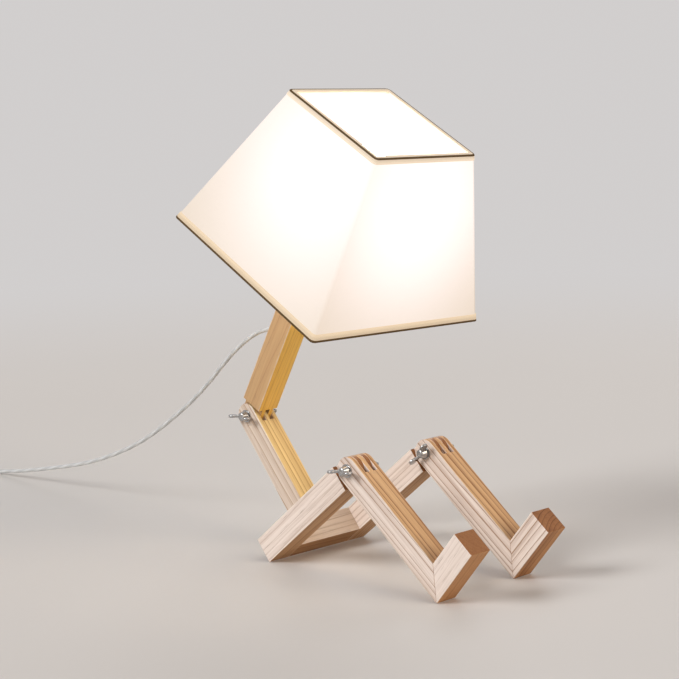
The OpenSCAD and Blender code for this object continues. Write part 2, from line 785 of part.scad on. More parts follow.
module plug_body() {
    color(white) plug_place() difference() {
        union() {
            translate([plug_w / 4, -plug_w / 2, 0]) cube([plug_len - plug_w / 4, plug_w, plug_t]);
            intersection() {
                translate([plug_w / 2, 0, 0]) cylinder(h = plug_t, d = plug_w);
                translate([0, -plug_w / 2, 0]) cube([plug_w / 2, plug_w, plug_t]);
            }
            translate([-relief_len, 0, plug_t / 2]) rotate([0, 90, 0])
                cylinder(h = relief_len + 4, d1 = cord_d + 1.6, d2 = 10);
        }
        blades(dowel_play);
    }
}

module plug_blades() { color(brass) plug_place() blades(0); }

thigh(right);  // thigh_right
thigh(left);  // thigh_left
seat_crossbar();
seat_dowels();
torso_lower();
at(elbow, 0) screw_insert();  // elbow_insert
at(elbow, 0) screw_washer();  // elbow_washer
at(elbow, 0) wing_screw(wing_turns[0]);  // elbow_wing_screw
shin(right);  // shin_right
foot(right);  // foot_right
at(knee, 0, right * leg_y) screw_insert();  // knee_insert_right
at(knee, 0, right * leg_y) screw_washer();  // knee_washer_right
at(knee, 0, right * leg_y) wing_screw(wing_turns[1]);  // knee_wing_screw_right
shin(left);  // shin_left
foot(left);  // foot_left
at(knee, 0, left * leg_y) screw_insert();  // knee_insert_left
at(knee, 0, left * leg_y) screw_washer();  // knee_washer_left
at(knee, 0, left * leg_y) wing_screw(wing_turns[2]);  // knee_wing_screw_left
torso_upper();
neck_block();
inner_lead();
cord_sleeve();
holder_tube();
holder_washer();
holder_cap();
holder_sleeve();
holder_insert();
screw_shell();
centre_contact();
shade_ring_nut();
shade_spider();
shade_top_wire();
shade_cloth();
shade_hem_bottom();
shade_hem_top();
bulb_cap();
bulb_housing();
bulb_globe();
cord_lead();
switch_base();
switch_cover();
switch_rocker();
switch_contacts();
switch_screws();
cord_tail();
cord_coil();
coil_tie();
cord_end();
plug_body();
plug_blades();
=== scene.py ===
from math import asin, cos, hypot, pi, radians, sin, sqrt
import bmesh
import bpy
from mathutils import Matrix, Vector


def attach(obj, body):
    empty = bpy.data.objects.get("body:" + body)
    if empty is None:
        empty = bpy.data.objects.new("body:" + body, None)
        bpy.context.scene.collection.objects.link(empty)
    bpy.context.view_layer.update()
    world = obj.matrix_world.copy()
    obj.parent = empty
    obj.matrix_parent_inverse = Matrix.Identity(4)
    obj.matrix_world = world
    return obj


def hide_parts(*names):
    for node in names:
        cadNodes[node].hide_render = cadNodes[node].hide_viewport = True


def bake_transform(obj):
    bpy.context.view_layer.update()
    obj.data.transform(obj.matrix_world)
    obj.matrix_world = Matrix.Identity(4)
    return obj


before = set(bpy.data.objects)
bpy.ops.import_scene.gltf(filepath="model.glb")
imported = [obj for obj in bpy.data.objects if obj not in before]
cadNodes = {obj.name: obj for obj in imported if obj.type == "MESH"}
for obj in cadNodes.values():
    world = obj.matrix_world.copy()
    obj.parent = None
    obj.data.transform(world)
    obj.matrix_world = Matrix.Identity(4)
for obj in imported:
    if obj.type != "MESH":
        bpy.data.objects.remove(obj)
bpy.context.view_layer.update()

scene = bpy.context.scene
mm = 0.001

# shared places in mm, and angles in degrees above +X in the side view
lamp = {
    "thighAngle": 39, "shinAngle": -39.349, "upperAngle": 61, "barWidth": 24, "legSpacing": 50,
    "seatCorner": (-74.896, 0, 0), "knee": (28.684, 0, 99.319), "elbow": (-156.192, 0, 119.461),
    "headFoot": (-40.188, 0, 289.547),
    "heelReach": 130, "neckReach": 193,   # where the foot's and the neck's grain starts, from knee and elbow
}

def along(angle):
    return Vector((cos(radians(angle)), 0, sin(radians(angle))))

def turned(angle, axis):
    return Matrix.Rotation(radians(angle), 4, axis)

seatCorner, knee, elbow, headFoot = (
    Vector(lamp[k]) * mm for k in ("seatCorner", "knee", "elbow", "headFoot"))
thigh, shin, upper = (lamp[k] for k in ("thighAngle", "shinAngle", "upperAngle"))
halfBar = lamp["barWidth"] / 2 * mm


# small mesh and object helpers

def addObject(name, mesh, materials=()):
    thing = bpy.data.objects.new(name, mesh)
    scene.collection.objects.link(thing)
    for finish in materials:
        thing.data.materials.append(finish)
    return thing

def meshFrom(name, points, faces):
    mesh = bpy.data.meshes.new(name)
    mesh.from_pydata([tuple(p) for p in points], [], faces)
    mesh.update()
    return mesh

def turnOutward(mesh, merge=None):
    work = bmesh.new()
    work.from_mesh(mesh)
    if merge:
        bmesh.ops.remove_doubles(work, verts=work.verts, dist=merge)
    bmesh.ops.recalc_face_normals(work, faces=work.faces)
    work.to_mesh(mesh)
    work.free()

def smoothShade(mesh, angle):
    mesh.shade_smooth()
    mesh.set_sharp_from_angle(angle=radians(angle))

def mapFaces(mesh, name, corners):
    # corners holds one UV pair for each corner of each face
    layer = mesh.uv_layers.new(name=name)
    for i, uv in enumerate(corners):
        layer.data[i].uv = uv

def frozen(thing):
    # the modifiers' result becomes the mesh
    bpy.context.view_layer.update()
    graph = bpy.context.evaluated_depsgraph_get()
    result = bpy.data.meshes.new_from_object(
        thing.evaluated_get(graph), preserve_all_data_layers=True, depsgraph=graph)
    thing.modifiers.clear()
    thing.data = result
    return thing

def place(thing, body, slotName, *replaced):
    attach(thing, body)
    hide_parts(*replaced)
    return thing

def camel(node):
    first, *rest = node.split("_")
    return first + "".join(word.title() for word in rest)

def dress(finish, *nodes):
    # CAD nodes that keep their shape and take this finish
    for node in nodes:
        cadNodes[node].data.materials.clear()
        cadNodes[node].data.materials.append(finish)

def joined(name, meshes, angle=30):
    work = bmesh.new()
    for mesh in meshes:
        work.from_mesh(mesh)
    result = bpy.data.meshes.new(name)
    work.to_mesh(result)
    work.free()
    smoothShade(result, angle)
    return result

def ringPoints(radius, height, sides):
    turns = [2 * pi * k / sides for k in range(sides)]
    return [Vector((radius * cos(t), radius * sin(t), height)) for t in turns]

def band(a, b, sides):
    # four-sided faces between two rings, whose points start at a and b
    return [(a + k, a + (k + 1) % sides, b + (k + 1) % sides, b + k) for k in range(sides)]

def lathe(name, profile, toWorld, finish, sides=64, angle=35):
    # profile is (radius, height) in mm, and a radius of 0 is a pole
    points, faces, rows = [], [], []
    for r, z in profile:
        ring = ringPoints(r * mm, z * mm, sides) if r else [Vector((0, 0, z * mm))]
        rows.append((len(points), len(ring)))
        points += [toWorld @ q for q in ring]
    for (a, countA), (b, countB) in zip(rows, rows[1:]):
        quads = band(a, b, sides)
        if countA == 1:
            quads = [(a, after, here) for _, _, after, here in quads]
        elif countB == 1:
            quads = [(here, after, b) for here, after, _, _ in quads]
        faces += quads
    mesh = meshFrom(name, points, faces)
    turnOutward(mesh, merge=1e-7)
    smoothShade(mesh, angle)
    return addObject(name, mesh, [finish])

def spline(points, steps):
    # the curve that passes through all the points
    pts = [Vector(p) for p in points]
    line = []
    for i in range(len(pts) - 1):
        a, b, c, d = pts[max(i - 1, 0)], pts[i], pts[i + 1], pts[min(i + 2, len(pts) - 1)]
        for s in range(steps):
            t = s / steps
            line.append(0.5 * (2 * b + (c - a) * t + (2 * a - 5 * b + 4 * c - d) * t * t
                               + (3 * b - a - 3 * c + d) * t * t * t))
    return line + [pts[-1]]

def tube(name, line, radius, sides, finish):
    # a closed tube with a UV map: turns round it, and metres along it
    points, faces, corners, runs = [], [], [], [0]
    for i, p in enumerate(line):
        if i:
            runs.append(runs[-1] + (p - line[i - 1]).length)
        ahead = (line[min(i + 1, len(line) - 1)] - line[max(i - 1, 0)]).normalized()
        side = Vector((0, 0, 1)).cross(ahead).normalized()
        up = ahead.cross(side)
        points += [p + q.x * side + q.y * up for q in ringPoints(radius, 0, sides)]
    for i in range(len(line) - 1):
        for k in range(sides):
            j = (k + 1) % sides
            faces.append((i * sides + k, (i + 1) * sides + k, (i + 1) * sides + j, i * sides + j))
            here, after = k / sides, (k + 1) / sides
            corners += [(here, runs[i]), (here, runs[i + 1]), (after, runs[i + 1]), (after, runs[i])]
    for end, order in ((0, 1), (len(line) - 1, -1)):
        around = range(sides)[::order]
        faces.append(tuple(end * sides + k for k in around))
        corners += [(k / sides, runs[end]) for k in around]
    mesh = meshFrom(name, points, faces)
    mapFaces(mesh, "cordMap", corners)
    smoothShade(mesh, 50)
    return addObject(name, mesh, [finish])


# node helpers

def feed(t, node, values):
    # values maps the node's input names or numbers to sockets or plain values
    for label, value in values.items():
        socket = node.inputs[label]
        if isinstance(value, bpy.types.NodeSocket):
            t.links.new(value, socket)
        elif socket.type == "RGBA":
            socket.default_value = (*value[:3], 1)
        else:
            socket.default_value = value

def step(t, kind, values={}, **settings):
    # adds one node and gives its outputs
    node = t.nodes.new(kind)
    for key, value in settings.items():
        setattr(node, key, value)
    feed(t, node, values)
    return node.outputs

def calc(t, how, *values, clamp=False):
    return step(t, "ShaderNodeMath", dict(enumerate(values)), operation=how, use_clamp=clamp)[0]

def plus(t, a, b):
    return calc(t, "ADD", a, b)

def minus(t, a, b):
    return calc(t, "SUBTRACT", a, b)

def times(t, a, b, clamp=False):
    return calc(t, "MULTIPLY", a, b, clamp=clamp)

def vecCalc(t, how, *values):
    outputs = step(t, "ShaderNodeVectorMath", dict(enumerate(values)), operation=how)
    return outputs["Value"] if how in ("LENGTH", "DISTANCE") else outputs[0]

def gather(t, x, y=0.0, z=0.0):
    return step(t, "ShaderNodeCombineXYZ", {0: x, 1: y, 2: z})[0]

def even(t, value):
    # the same value on all three axes, or as a grey
    return gather(t, value, value, value)

def split(t, vector):
    return step(t, "ShaderNodeSeparateXYZ", {0: vector})

def newTree(name, inputs, outputs, kind="ShaderNodeTree"):
    # a node tree with named sockets; gives it, what comes in, and the node that it ends at
    tree = bpy.data.node_groups.new(name, kind)
    for side, rows in (("INPUT", inputs), ("OUTPUT", outputs)):
        for label, socketKind, *value in rows:
            socket = tree.interface.new_socket(name=label, in_out=side, socket_type="NodeSocket" + socketKind)
            if value:
                socket.default_value = value[0]
    return tree, tree.nodes.new("NodeGroupInput").outputs, tree.nodes.new("NodeGroupOutput")


# geometry node trees for what repeats

def geo(t, kind, values={}, **settings):
    return step(t, "GeometryNode" + kind, values, **settings)

def newGrower(name, inputs):
    shape = ("Geometry", "Geometry")
    return newTree(name, [shape, *inputs, ("Finish", "Material")], [shape], "GeometryNodeTree")

def closeGrower(t, given, out, instances):
    real = geo(t, "RealizeInstances", {"Geometry": instances})
    done = geo(t, "SetMaterial", {"Geometry": real[0], "Material": given["Finish"]})
    feed(t, out, {"Geometry": done[0]})
    return t

def makeRibRing():
    # upright ribs in a ring round the Z axis
    t, given, out = newGrower("ribRing", [
        ("Count", "Int"), ("Radius", "Float"), ("Base Height", "Float"), ("Rib Length", "Float"),
        ("Rib Radius", "Float")])
    ring = geo(t, "MeshCircle", {"Vertices": given["Count"], "Radius": given["Radius"]})
    rib = geo(t, "MeshCylinder", {"Vertices": 8, "Radius": given["Rib Radius"], "Depth": given["Rib Length"]})
    outward = step(t, "FunctionNodeAlignRotationToVector", {"Vector": geo(t, "InputPosition")[0]}, axis="X")
    ribs = geo(t, "InstanceOnPoints", {"Points": ring[0], "Instance": rib[0], "Rotation": outward[0]})
    middle = plus(t, given["Base Height"], times(t, given["Rib Length"], 0.5))
    moved = geo(t, "Transform", {"Geometry": ribs[0], "Translation": gather(t, 0.0, 0.0, middle)})
    return closeGrower(t, given, out, moved[0])

def makeSleeveRings():
    # rings along the X axis, which grow evenly from the first to the last
    t, given, out = newGrower("sleeveRings", [
        ("Count", "Int"), ("First Place", "Vector"), ("Last Place", "Vector"),
        ("First Radius", "Float"), ("Last Radius", "Float"), ("Band", "Float")])
    line = geo(t, "MeshLine", {
        "Count": given["Count"], "Start Location": given["First Place"], "Offset": given["Last Place"]},
        mode="END_POINTS")
    loop, section = (geo(t, "CurvePrimitiveCircle", {"Resolution": count, "Radius": 1.0})
                     for count in (32, 8))
    upright = geo(t, "Transform", {"Geometry": loop[0], "Rotation": (0, pi / 2, 0)})
    thin = calc(t, "DIVIDE", given["Band"], given["Last Radius"])
    small = geo(t, "Transform", {"Geometry": section[0], "Scale": even(t, thin)})
    hoop = geo(t, "CurveToMesh", {"Curve": upright[0], "Profile Curve": small[0]})
    part = calc(t, "DIVIDE", geo(t, "InputIndex")[0], minus(t, given["Count"], 1.0))
    radius = step(t, "ShaderNodeMapRange", {
        "Value": part, "To Min": given["First Radius"], "To Max": given["Last Radius"]})[0]
    rings = geo(t, "InstanceOnPoints", {"Points": line[0], "Instance": hoop[0], "Scale": even(t, radius)})
    return closeGrower(t, given, out, rings[0])

def makeToothRow():
    # small bars in a row, such as grip ribs and the teeth of a tie
    t, given, out = newGrower("toothRow", [
        ("Count", "Int"), ("First Place", "Vector"), ("Spacing", "Vector"), ("Tooth Size", "Vector")])
    line = geo(t, "MeshLine", {
        "Count": given["Count"], "Start Location": given["First Place"], "Offset": given["Spacing"]},
        mode="OFFSET")
    tooth = geo(t, "MeshCube", {"Size": given["Tooth Size"]})
    row = geo(t, "InstanceOnPoints", {"Points": line[0], "Instance": tooth[0]})
    return closeGrower(t, given, out, row[0])

ribRing, sleeveRings, toothRow = makeRibRing(), makeSleeveRings(), makeToothRow()

def grown(tree, sizes, finish, toWorld):
    # runs a tree on an empty mesh; sizes are in mm, and the result is a plain mesh in its place
    host = addObject("host", bpy.data.meshes.new("host"))
    modifier = host.modifiers.new("grow", "NODES")
    modifier.node_group = tree
    sockets = {item.name: item.identifier for item in tree.interface.items_tree
               if item.item_type == "SOCKET" and item.in_out == "INPUT"}
    for label, value in {**sizes, "Finish": finish}.items():
        modifier[sockets[label]] = value
    mesh = frozen(host).data
    bpy.data.objects.remove(host)
    mesh.transform(toWorld @ Matrix.Scale(mm, 4))
    return mesh

print("geometry trees ready")


# the camera: its place in metres, its turns in degrees, and its focal length in pixels

view = {
    "place": (1.110733, -1.138311, 0.426511), "turn": 45.3029, "down": 7.9122, "roll": -1.2753,
    "pixels": 1795.294, "picture": 679, "sensor": 36, "near": 0.05, "far": 30,
}

def makeCamera(v):
    data = bpy.data.cameras.new("deskView")
    data.sensor_width = v["sensor"]
    data.lens = v["pixels"] * v["sensor"] / v["picture"]
    data.clip_start, data.clip_end = v["near"], v["far"]
    camera = bpy.data.objects.new("deskView", data)
    camera.matrix_world = Matrix.Translation(v["place"]) @ turned(v["turn"], "Z") \
        @ turned(90 - v["down"], "X") @ turned(v["roll"], "Z")
    scene.collection.objects.link(camera)
    scene.camera = camera

makeCamera(view)
print("camera ready")


# shader helpers

def blendColour(t, how, amount, a, b):
    # 0, 6 and 7 are the factor and the two colours
    return step(t, "ShaderNodeMix", {0: amount, 6: a, 7: b}, data_type="RGBA", blend_type=how)[2]

def noise(t, vector, scale, detail=2.0, rough=0.5):
    return step(t, "ShaderNodeTexNoise", {
        "Vector": vector, "Scale": scale, "Detail": detail, "Roughness": rough})[0]

def streaks(t, vector, scales, detail, rough=0.5):
    # noise that is drawn out along the axes with small scales
    return noise(t, vecCalc(t, "MULTIPLY", vector, scales), 1.0, detail, rough)

def ramp(t, value, low, high, outLow=0.0, outHigh=1.0):
    values = dict(enumerate((value, low, high, outLow, outHigh)))
    return step(t, "ShaderNodeMapRange", values, interpolation_type="SMOOTHSTEP")[0]

def useGroup(t, group, values):
    return step(t, "ShaderNodeGroup", values, node_tree=group)

def bumped(t, height, strength, distance):
    return step(t, "ShaderNodeBump", {"Height": height, "Strength": strength, "Distance": distance})[0]

def objectPlace(t):
    return step(t, "ShaderNodeTexCoord")["Object"]

def newFinish(name, values):
    # a Principled material; values set its plain sockets
    finish = bpy.data.materials.new(name)
    finish.use_nodes = True
    tree = finish.node_tree
    tree.nodes.clear()
    shader = tree.nodes.new("ShaderNodeBsdfPrincipled")
    step(tree, "ShaderNodeOutputMaterial", {"Surface": shader.outputs[0]})
    feed(tree, shader, values)
    return finish, tree, shader


# shared effects

grainPlan = {
    # how the noises are drawn out along, across and up the bar
    "wave": (5, 24, 24), "fibre": (9, 620, 620), "streak": (3, 90, 90), "pore": (70, 2300, 2300),
    # the colour of the cut ends is partly the end grain's own and partly painted shade
    "drift": 0.02, "yearScale": 130.0, "yearSpread": 0.007, "endGrain": (0.36, 0.155, 0.03),
}

def makeTimberGrain(p):
    t, given, out = newTree("timberGrain", [
        ("Place", "Vector"), ("Normal", "Vector"), ("Seed", "Float"), ("Light Wood", "Color"),
        ("Dark Wood", "Color"), ("Pore Colour", "Color"), ("Face Colour", "Color"), ("Pith", "Vector"),
        ("Ring Spacing", "Float", 0.0042), ("Ring Strength", "Float"), ("Wander", "Float")],
        [("Color", "Color"), ("Roughness", "Float"), ("Height", "Float")])
    spot = vecCalc(t, "ADD", given["Place"], gather(t, given["Seed"]))
    # growth rings round a heart line that lies outside the bar
    wave = times(t, streaks(t, spot, p["wave"], 2.0), given["Wander"])
    cut = split(t, vecCalc(t, "SUBTRACT", given["Place"], given["Pith"]))
    reach = plus(t, vecCalc(t, "LENGTH", gather(t, cut[1], cut[2])), wave)
    reach = plus(t, reach, times(t, cut[0], p["drift"]))
    # good and poor years: the rings' widths vary
    years = gather(t, times(t, reach, p["yearScale"]), given["Seed"])
    reach = plus(t, reach, times(t, noise(t, years, 1.0, 1.0), p["yearSpread"]))
    saw = calc(t, "FRACT", calc(t, "DIVIDE", reach, given["Ring Spacing"]))
    ring = times(t, ramp(t, saw, 0.35, 0.92), ramp(t, saw, 1.0, 0.95))
    line = times(t, ramp(t, saw, 0.8, 0.94), ramp(t, saw, 1.0, 0.96))
    # long fibres, broad streaks, and the short dark dashes of open pores
    fibre = streaks(t, spot, p["fibre"], 4.0, 0.6)
    broad = ramp(t, streaks(t, spot, p["streak"], 3.0, 0.55), 0.4, 0.7)
    dash = ramp(t, streaks(t, spot, p["pore"], 1.0), 0.60, 0.70)
    pores = times(t, dash, plus(t, times(t, ring, 0.8), 0.25))
    # the cut ends and the flat-sawn faces differ from the sides; their colours are partly the wood's own and
    # partly painted shade, and on the lamp-lit bars the flat-sawn faces carry painted lamp light
    facing = split(t, vecCalc(t, "ABSOLUTE", given["Normal"]))
    end, flatSawn = (ramp(t, facing[i], 0.55, 0.85) for i in (0, 2))
    tone = plus(t, plus(t, times(t, ring, 0.3), times(t, line, 0.95)), times(t, broad, 0.4))
    bold = times(t, given["Ring Strength"], plus(t, 1.0, times(t, flatSawn, 0.35)))
    tone = times(t, tone, bold, clamp=True)
    colour = blendColour(t, "MIX", tone, given["Light Wood"], given["Dark Wood"])
    colour = blendColour(t, "MIX", times(t, ramp(t, fibre, 0.42, 0.72), 0.3), colour, given["Dark Wood"])
    colour = blendColour(t, "MIX", times(t, pores, 0.5), colour, given["Pore Colour"])
    colour = blendColour(t, "MULTIPLY", flatSawn, colour, given["Face Colour"])
    colour = blendColour(t, "MULTIPLY", times(t, end, 0.95), colour, p["endGrain"])
    feed(t, out, {
        "Color": colour, "Roughness": plus(t, 0.46, times(t, fibre, 0.22)),
        "Height": minus(t, times(t, fibre, 0.6), times(t, pores, 0.7))})
    return t

def makeEdgeWearAndHighlight():
    # the mask of a bar's long edges, where both distances from its axis come near its half width; these edges
    # are lightened partly as wear and partly as a painted highlight
    t, given, out = newTree("edgeWearAndHighlight", [
        ("Place", "Vector"), ("Half Width", "Float", 0.012), ("Reach", "Float", 0.0012),
        ("Patches", "Float", 90.0), ("Unevenness", "Float", 0.0014)], [("Mask", "Float")])
    cut = split(t, vecCalc(t, "ABSOLUTE", given["Place"]))
    patch = minus(t, noise(t, given["Place"], given["Patches"]), 0.5)
    nearest = plus(t, calc(t, "MINIMUM", cut[1], cut[2]), times(t, patch, given["Unevenness"]))
    start = minus(t, given["Half Width"], given["Reach"])
    feed(t, out, {"Mask": ramp(t, nearest, start, given["Half Width"])})
    return t

def makeWeave():
    # threads are counted per metre, and the slubs are thick places along them
    t, given, out = newTree("plainWeave", [
        ("Map", "Vector"), ("Threads", "Float", 1800.0), ("Slub", "Float", 0.4)],
        [("Height", "Float"), ("Shade", "Float")])
    turn = times(t, given["Threads"], pi)
    cut = split(t, given["Map"])
    u, v = (calc(t, "SINE", times(t, cut[i], turn)) for i in (0, 1))
    weave = plus(t, times(t, times(t, u, v), 0.5), 0.5)
    wobble = streaks(t, given["Map"], (130, 130, 130), 2.0)
    thick = plus(t, streaks(t, given["Map"], (900, 26, 1), 1.0), streaks(t, given["Map"], (26, 900, 1), 1.0))
    slub = times(t, minus(t, thick, 1.0), given["Slub"])
    feed(t, out, {"Height": plus(t, weave, slub), "Shade": plus(t, slub, times(t, wobble, 0.3))})
    return t

def makeHandlingMarks():
    # fine dust and handling marks on plastic and metal
    t, given, out = newTree("handlingMarks", [
        ("Place", "Vector"), ("Scale", "Float", 60.0), ("Dust Scale", "Float", 1400.0),
        ("Base Roughness", "Float"), ("Variation", "Float", 0.12)],
        [("Roughness", "Float"), ("Height", "Float"), ("Mask", "Float")])
    wide = noise(t, given["Place"], given["Scale"], 4.0)
    spread = times(t, minus(t, wide, 0.5), given["Variation"])
    feed(t, out, {
        "Roughness": plus(t, given["Base Roughness"], spread),
        "Height": noise(t, given["Place"], given["Dust Scale"]), "Mask": ramp(t, wide, 0.5, 0.75)})
    return t

def makeLampGlow():
    # light of the bulb that comes through the cloth, strongest where the cloth is nearest to it
    t, given, out = newTree("lampGlow", [
        ("Place", "Vector"), ("Bulb", "Vector"), ("Near", "Float"), ("Power", "Float")], [("Light", "Float")])
    far = vecCalc(t, "DISTANCE", given["Place"], given["Bulb"])
    feed(t, out, {"Light": calc(t, "POWER", calc(t, "DIVIDE", given["Near"], far), given["Power"])})
    return t

timberGrain, edgeWearAndHighlight, plainWeave = makeTimberGrain(grainPlan), makeEdgeWearAndHighlight(), makeWeave()
handlingMarks, lampGlow = makeHandlingMarks(), makeLampGlow()
print("shared effects ready")


# finishes

timberLook = {
    # face darkens the flat-sawn faces: partly the wood's own colour, partly painted shade
    "light": (0.86, 0.73, 0.64), "dark": (0.40, 0.24, 0.15), "face": (0.84, 0.62, 0.36),
    # worn is the lighter colour of the long edges: partly wear, partly a painted highlight
    "pores": (0.26, 0.15, 0.085), "worn": (0.93, 0.83, 0.70), "wear": 0.45, "bump": 0.25, "depth": 0.0004,
    # painted light and shade per bar: golden painted lamp light on the upper body; on the lower body painted
    # shade on its sides and painted lamp light on its front and back; painted shade on the crossbar; painted
    # shade on the flat faces of thighs and feet, with a brown painted reflection on the feet
    "tones": {
        "warm": {"light": (0.56, 0.345, 0.165), "dark": (0.40, 0.20, 0.08), "face": (1.76, 1.74, 0.76)},
        "lap": {"light": (0.76, 0.635, 0.53), "dark": (0.42, 0.25, 0.13), "face": (1.16, 1.02, 0.55)},
        "cross": {"light": (0.70, 0.555, 0.435), "dark": (0.36, 0.21, 0.12), "face": (0.66, 0.45, 0.26)},
        "thigh": {"face": (0.62, 0.43, 0.25)},
        "foot": {"face": (0.58, 0.34, 0.16)},
    },
}

def timberFinish(name, origin, xAxis, zAxis, seed, tone="", pith=(0, 0.022, 0.03), rings=0.6, wander=0.008):
    # the grain runs along xAxis, and zAxis points out of the flat-sawn face
    # tone picks a bar's painted lamp light and painted shade
    look = {**timberLook, **timberLook["tones"].get(tone, {})}
    finish, t, shader = newFinish(name, {"Roughness": 0.5, "Specular IOR Level": 0.35})
    x, z = Vector(xAxis).normalized(), Vector(zAxis).normalized()
    turn = Matrix((x, z.cross(x), z)).transposed().to_euler("XYZ")
    given = step(t, "ShaderNodeTexCoord")
    local, facing = (
        step(t, "ShaderNodeMapping", {"Vector": given[label], "Location": start, "Rotation": turn},
             vector_type="TEXTURE")[0] for label, start in (("Object", origin), ("Normal", (0, 0, 0))))
    grain = useGroup(t, timberGrain, {
        "Place": local, "Normal": facing, "Light Wood": look["light"], "Dark Wood": look["dark"],
        "Face Colour": look["face"], "Pore Colour": look["pores"], "Seed": seed, "Pith": pith,
        "Ring Strength": rings, "Wander": wander})
    # the long edges are lightened: partly wear, partly a painted highlight
    wear = times(t, useGroup(t, edgeWearAndHighlight, {"Place": local})["Mask"], look["wear"])
    feed(t, shader, {
        "Base Color": blendColour(t, "MIX", wear, grain["Color"], look["worn"]),
        "Roughness": grain["Roughness"],
        "Normal": bumped(t, grain["Height"], look["bump"], look["depth"])})
    return finish

def plainFinish(name, colour, roughness, uneven, bump, marked, marks, plain={}):
    finish, t, shader = newFinish(name, plain)
    used = useGroup(t, handlingMarks, {
        "Place": objectPlace(t), "Base Roughness": roughness, "Variation": uneven})
    tint = blendColour(t, "MULTIPLY", times(t, used["Mask"], marked), colour, marks)
    feed(t, shader, {
        "Base Color": tint, "Roughness": used["Roughness"],
        "Normal": bumped(t, used["Height"], bump, 0.0001)})
    return finish

plainLooks = {
    # name: colour, roughness and how it varies, bump, how marked it is, colour of the marks, shader sockets
    "zincSteel": ((0.46, 0.455, 0.45), 0.26, 0.25, 0.12, 0.6, (0.45, 0.43, 0.41), {"Metallic": 1.0}),
    "brass": ((0.76, 0.58, 0.28), 0.3, 0.2, 0.1, 0.4, (0.6, 0.45, 0.3), {"Metallic": 1.0}),
    "bulbCapMetal": ((0.75, 0.75, 0.76), 0.28, 0.15, 0.08, 0.3, (0.7, 0.68, 0.66), {"Metallic": 1.0}),
    "whitePlastic": ((0.84, 0.83, 0.80), 0.32, 0.1, 0.04, 0.2, (0.8, 0.78, 0.74)),
    "paintedWire": ((0.80, 0.79, 0.76), 0.4, 0.12, 0.08, 0.3, (0.75, 0.72, 0.68)),
    "smokedPlastic": ((0.60, 0.59, 0.56), 0.26, 0.1, 0.03, 0.2, (0.8, 0.78, 0.74), {"Coat Weight": 0.25}),
    "tiePlastic": ((0.82, 0.82, 0.80), 0.45, 0.1, 0.05, 0.06, (0.8, 0.8, 0.8)),
    "clearSleeve": ((0.74, 0.73, 0.71), 0.2, 0.08, 0.03, 0.06, (0.8, 0.8, 0.8),
                    {"Transmission Weight": 0.35, "Coat Weight": 0.3}),
    # the lining's emission is a painted glow of the lit inside of the shade
    "shadeLining": ((0.58, 0.58, 0.59), 0.55, 0.12, 0.04, 0.2, (0.85, 0.82, 0.76),
                    {"Emission Color": (0.95, 0.94, 0.94), "Emission Strength": 0.52}),
}
(zincFinish, brassFinish, capFinish, whitePlastic, wireFinish, switchPlastic, tieFinish, sleeveFinish,
 liningFinish) = (plainFinish(name, *look) for name, look in plainLooks.items())


# the cords: route points as in the part's source, in mm

cordPlan = {
    "radius": 2.1, "sides": 14, "steps": 6,
    "cores": 2, "twist": 0.024, "coreColour": (0.65, 0.645, 0.625), "gapColour": (0.54, 0.535, 0.515),
    # down behind the lamp as (x, z), then over the table
    "hanging": [
        (-130.728, 204.736), (-139, 202.6), (-148, 199.8), (-160, 194.2), (-173, 186.2), (-187, 176),
        (-200, 165), (-213, 153.4), (-226, 142), (-240, 130.6), (-256, 118.6), (-273, 107), (-291, 95.4),
        (-309, 84.4), (-328, 74), (-348, 64.4), (-368, 56), (-389, 48.2), (-411, 41), (-434, 34.4),
        (-458, 28.6), (-483, 23.2), (-508, 18.2), (-532, 13.6), (-555, 9.4), (-575, 6.2)],
    "lying": [
        (-592, -1, 3.8), (-607, -5, 2.5), (-620, -14, 2.2), (-629, -27, 2.7), (-633, -42, 4.3),
        (-634, -54, 6.2), (-634, -61, 7), (-634, -66, 7)],
    "tail": [
        (-634, -130, 7), (-634, -135, 7), (-634, -142, 6.4), (-634, -154, 5.4), (-634, -168, 4),
        (-634, -182, 3.4), (-634, -196, 3.2), (-634, -208, 3.2)],
    "coil": {"centre": (-603.7, -222), "outer": 30.3, "inner": 17.7, "low": 3.2, "high": 7.5, "dip": 0.8,
             "turns": 3, "perTurn": 40},
    "end": [(-573.4, y, 7.5) for y in (-212, -200, -186, -170, -164)],
}

def makeCordFinish(p):
    finish, t, shader = newFinish("clearCord", {
        "Roughness": 0.24, "Coat Weight": 0.35, "Coat Roughness": 0.08, "Subsurface Weight": 0.15,
        "Subsurface Scale": 0.002, "Subsurface Radius": (1, 0.9, 0.8)})
    cut = split(t, step(t, "ShaderNodeUVMap", uv_map="cordMap")[0])
    # two twisted cores seen through the clear jacket
    twist = plus(t, times(t, cut[0], 2 * pi * p["cores"]), times(t, cut[1], 2 * pi / p["twist"]))
    cores = ramp(t, calc(t, "SINE", twist), -0.55, 0.75)
    feed(t, shader, {"Base Color": blendColour(t, "MIX", cores, p["gapColour"], p["coreColour"])})
    return finish

def coilLine(c):
    # turns inward below, half a turn up, and turns outward above
    line, turns, each = [], c["turns"], c["perTurn"]
    pitch = (c["outer"] - c["inner"]) / turns
    def spot(turn, r, z):
        t = pi + 2 * pi * turn
        return Vector((c["centre"][0] + r * cos(t), c["centre"][1] + r * sin(t), z))
    for i in range(turns * each):
        line.append(spot(i / each, c["outer"] - pitch * i / each, c["low"]))
    for i in range(each // 2):
        s = i / (each / 2)
        line.append(spot(turns + s / 2, c["inner"] - c["dip"] * sin(pi * s),
                         c["low"] + (c["high"] - c["low"]) * (1 - cos(pi * s)) / 2))
    for i in range(turns * each + 1):
        line.append(spot(turns + 0.5 + i / each, c["inner"] + pitch * i / each, c["high"]))
    return line

def pathLength(line):
    return sum((b - a).length for a, b in zip(line, line[1:]))

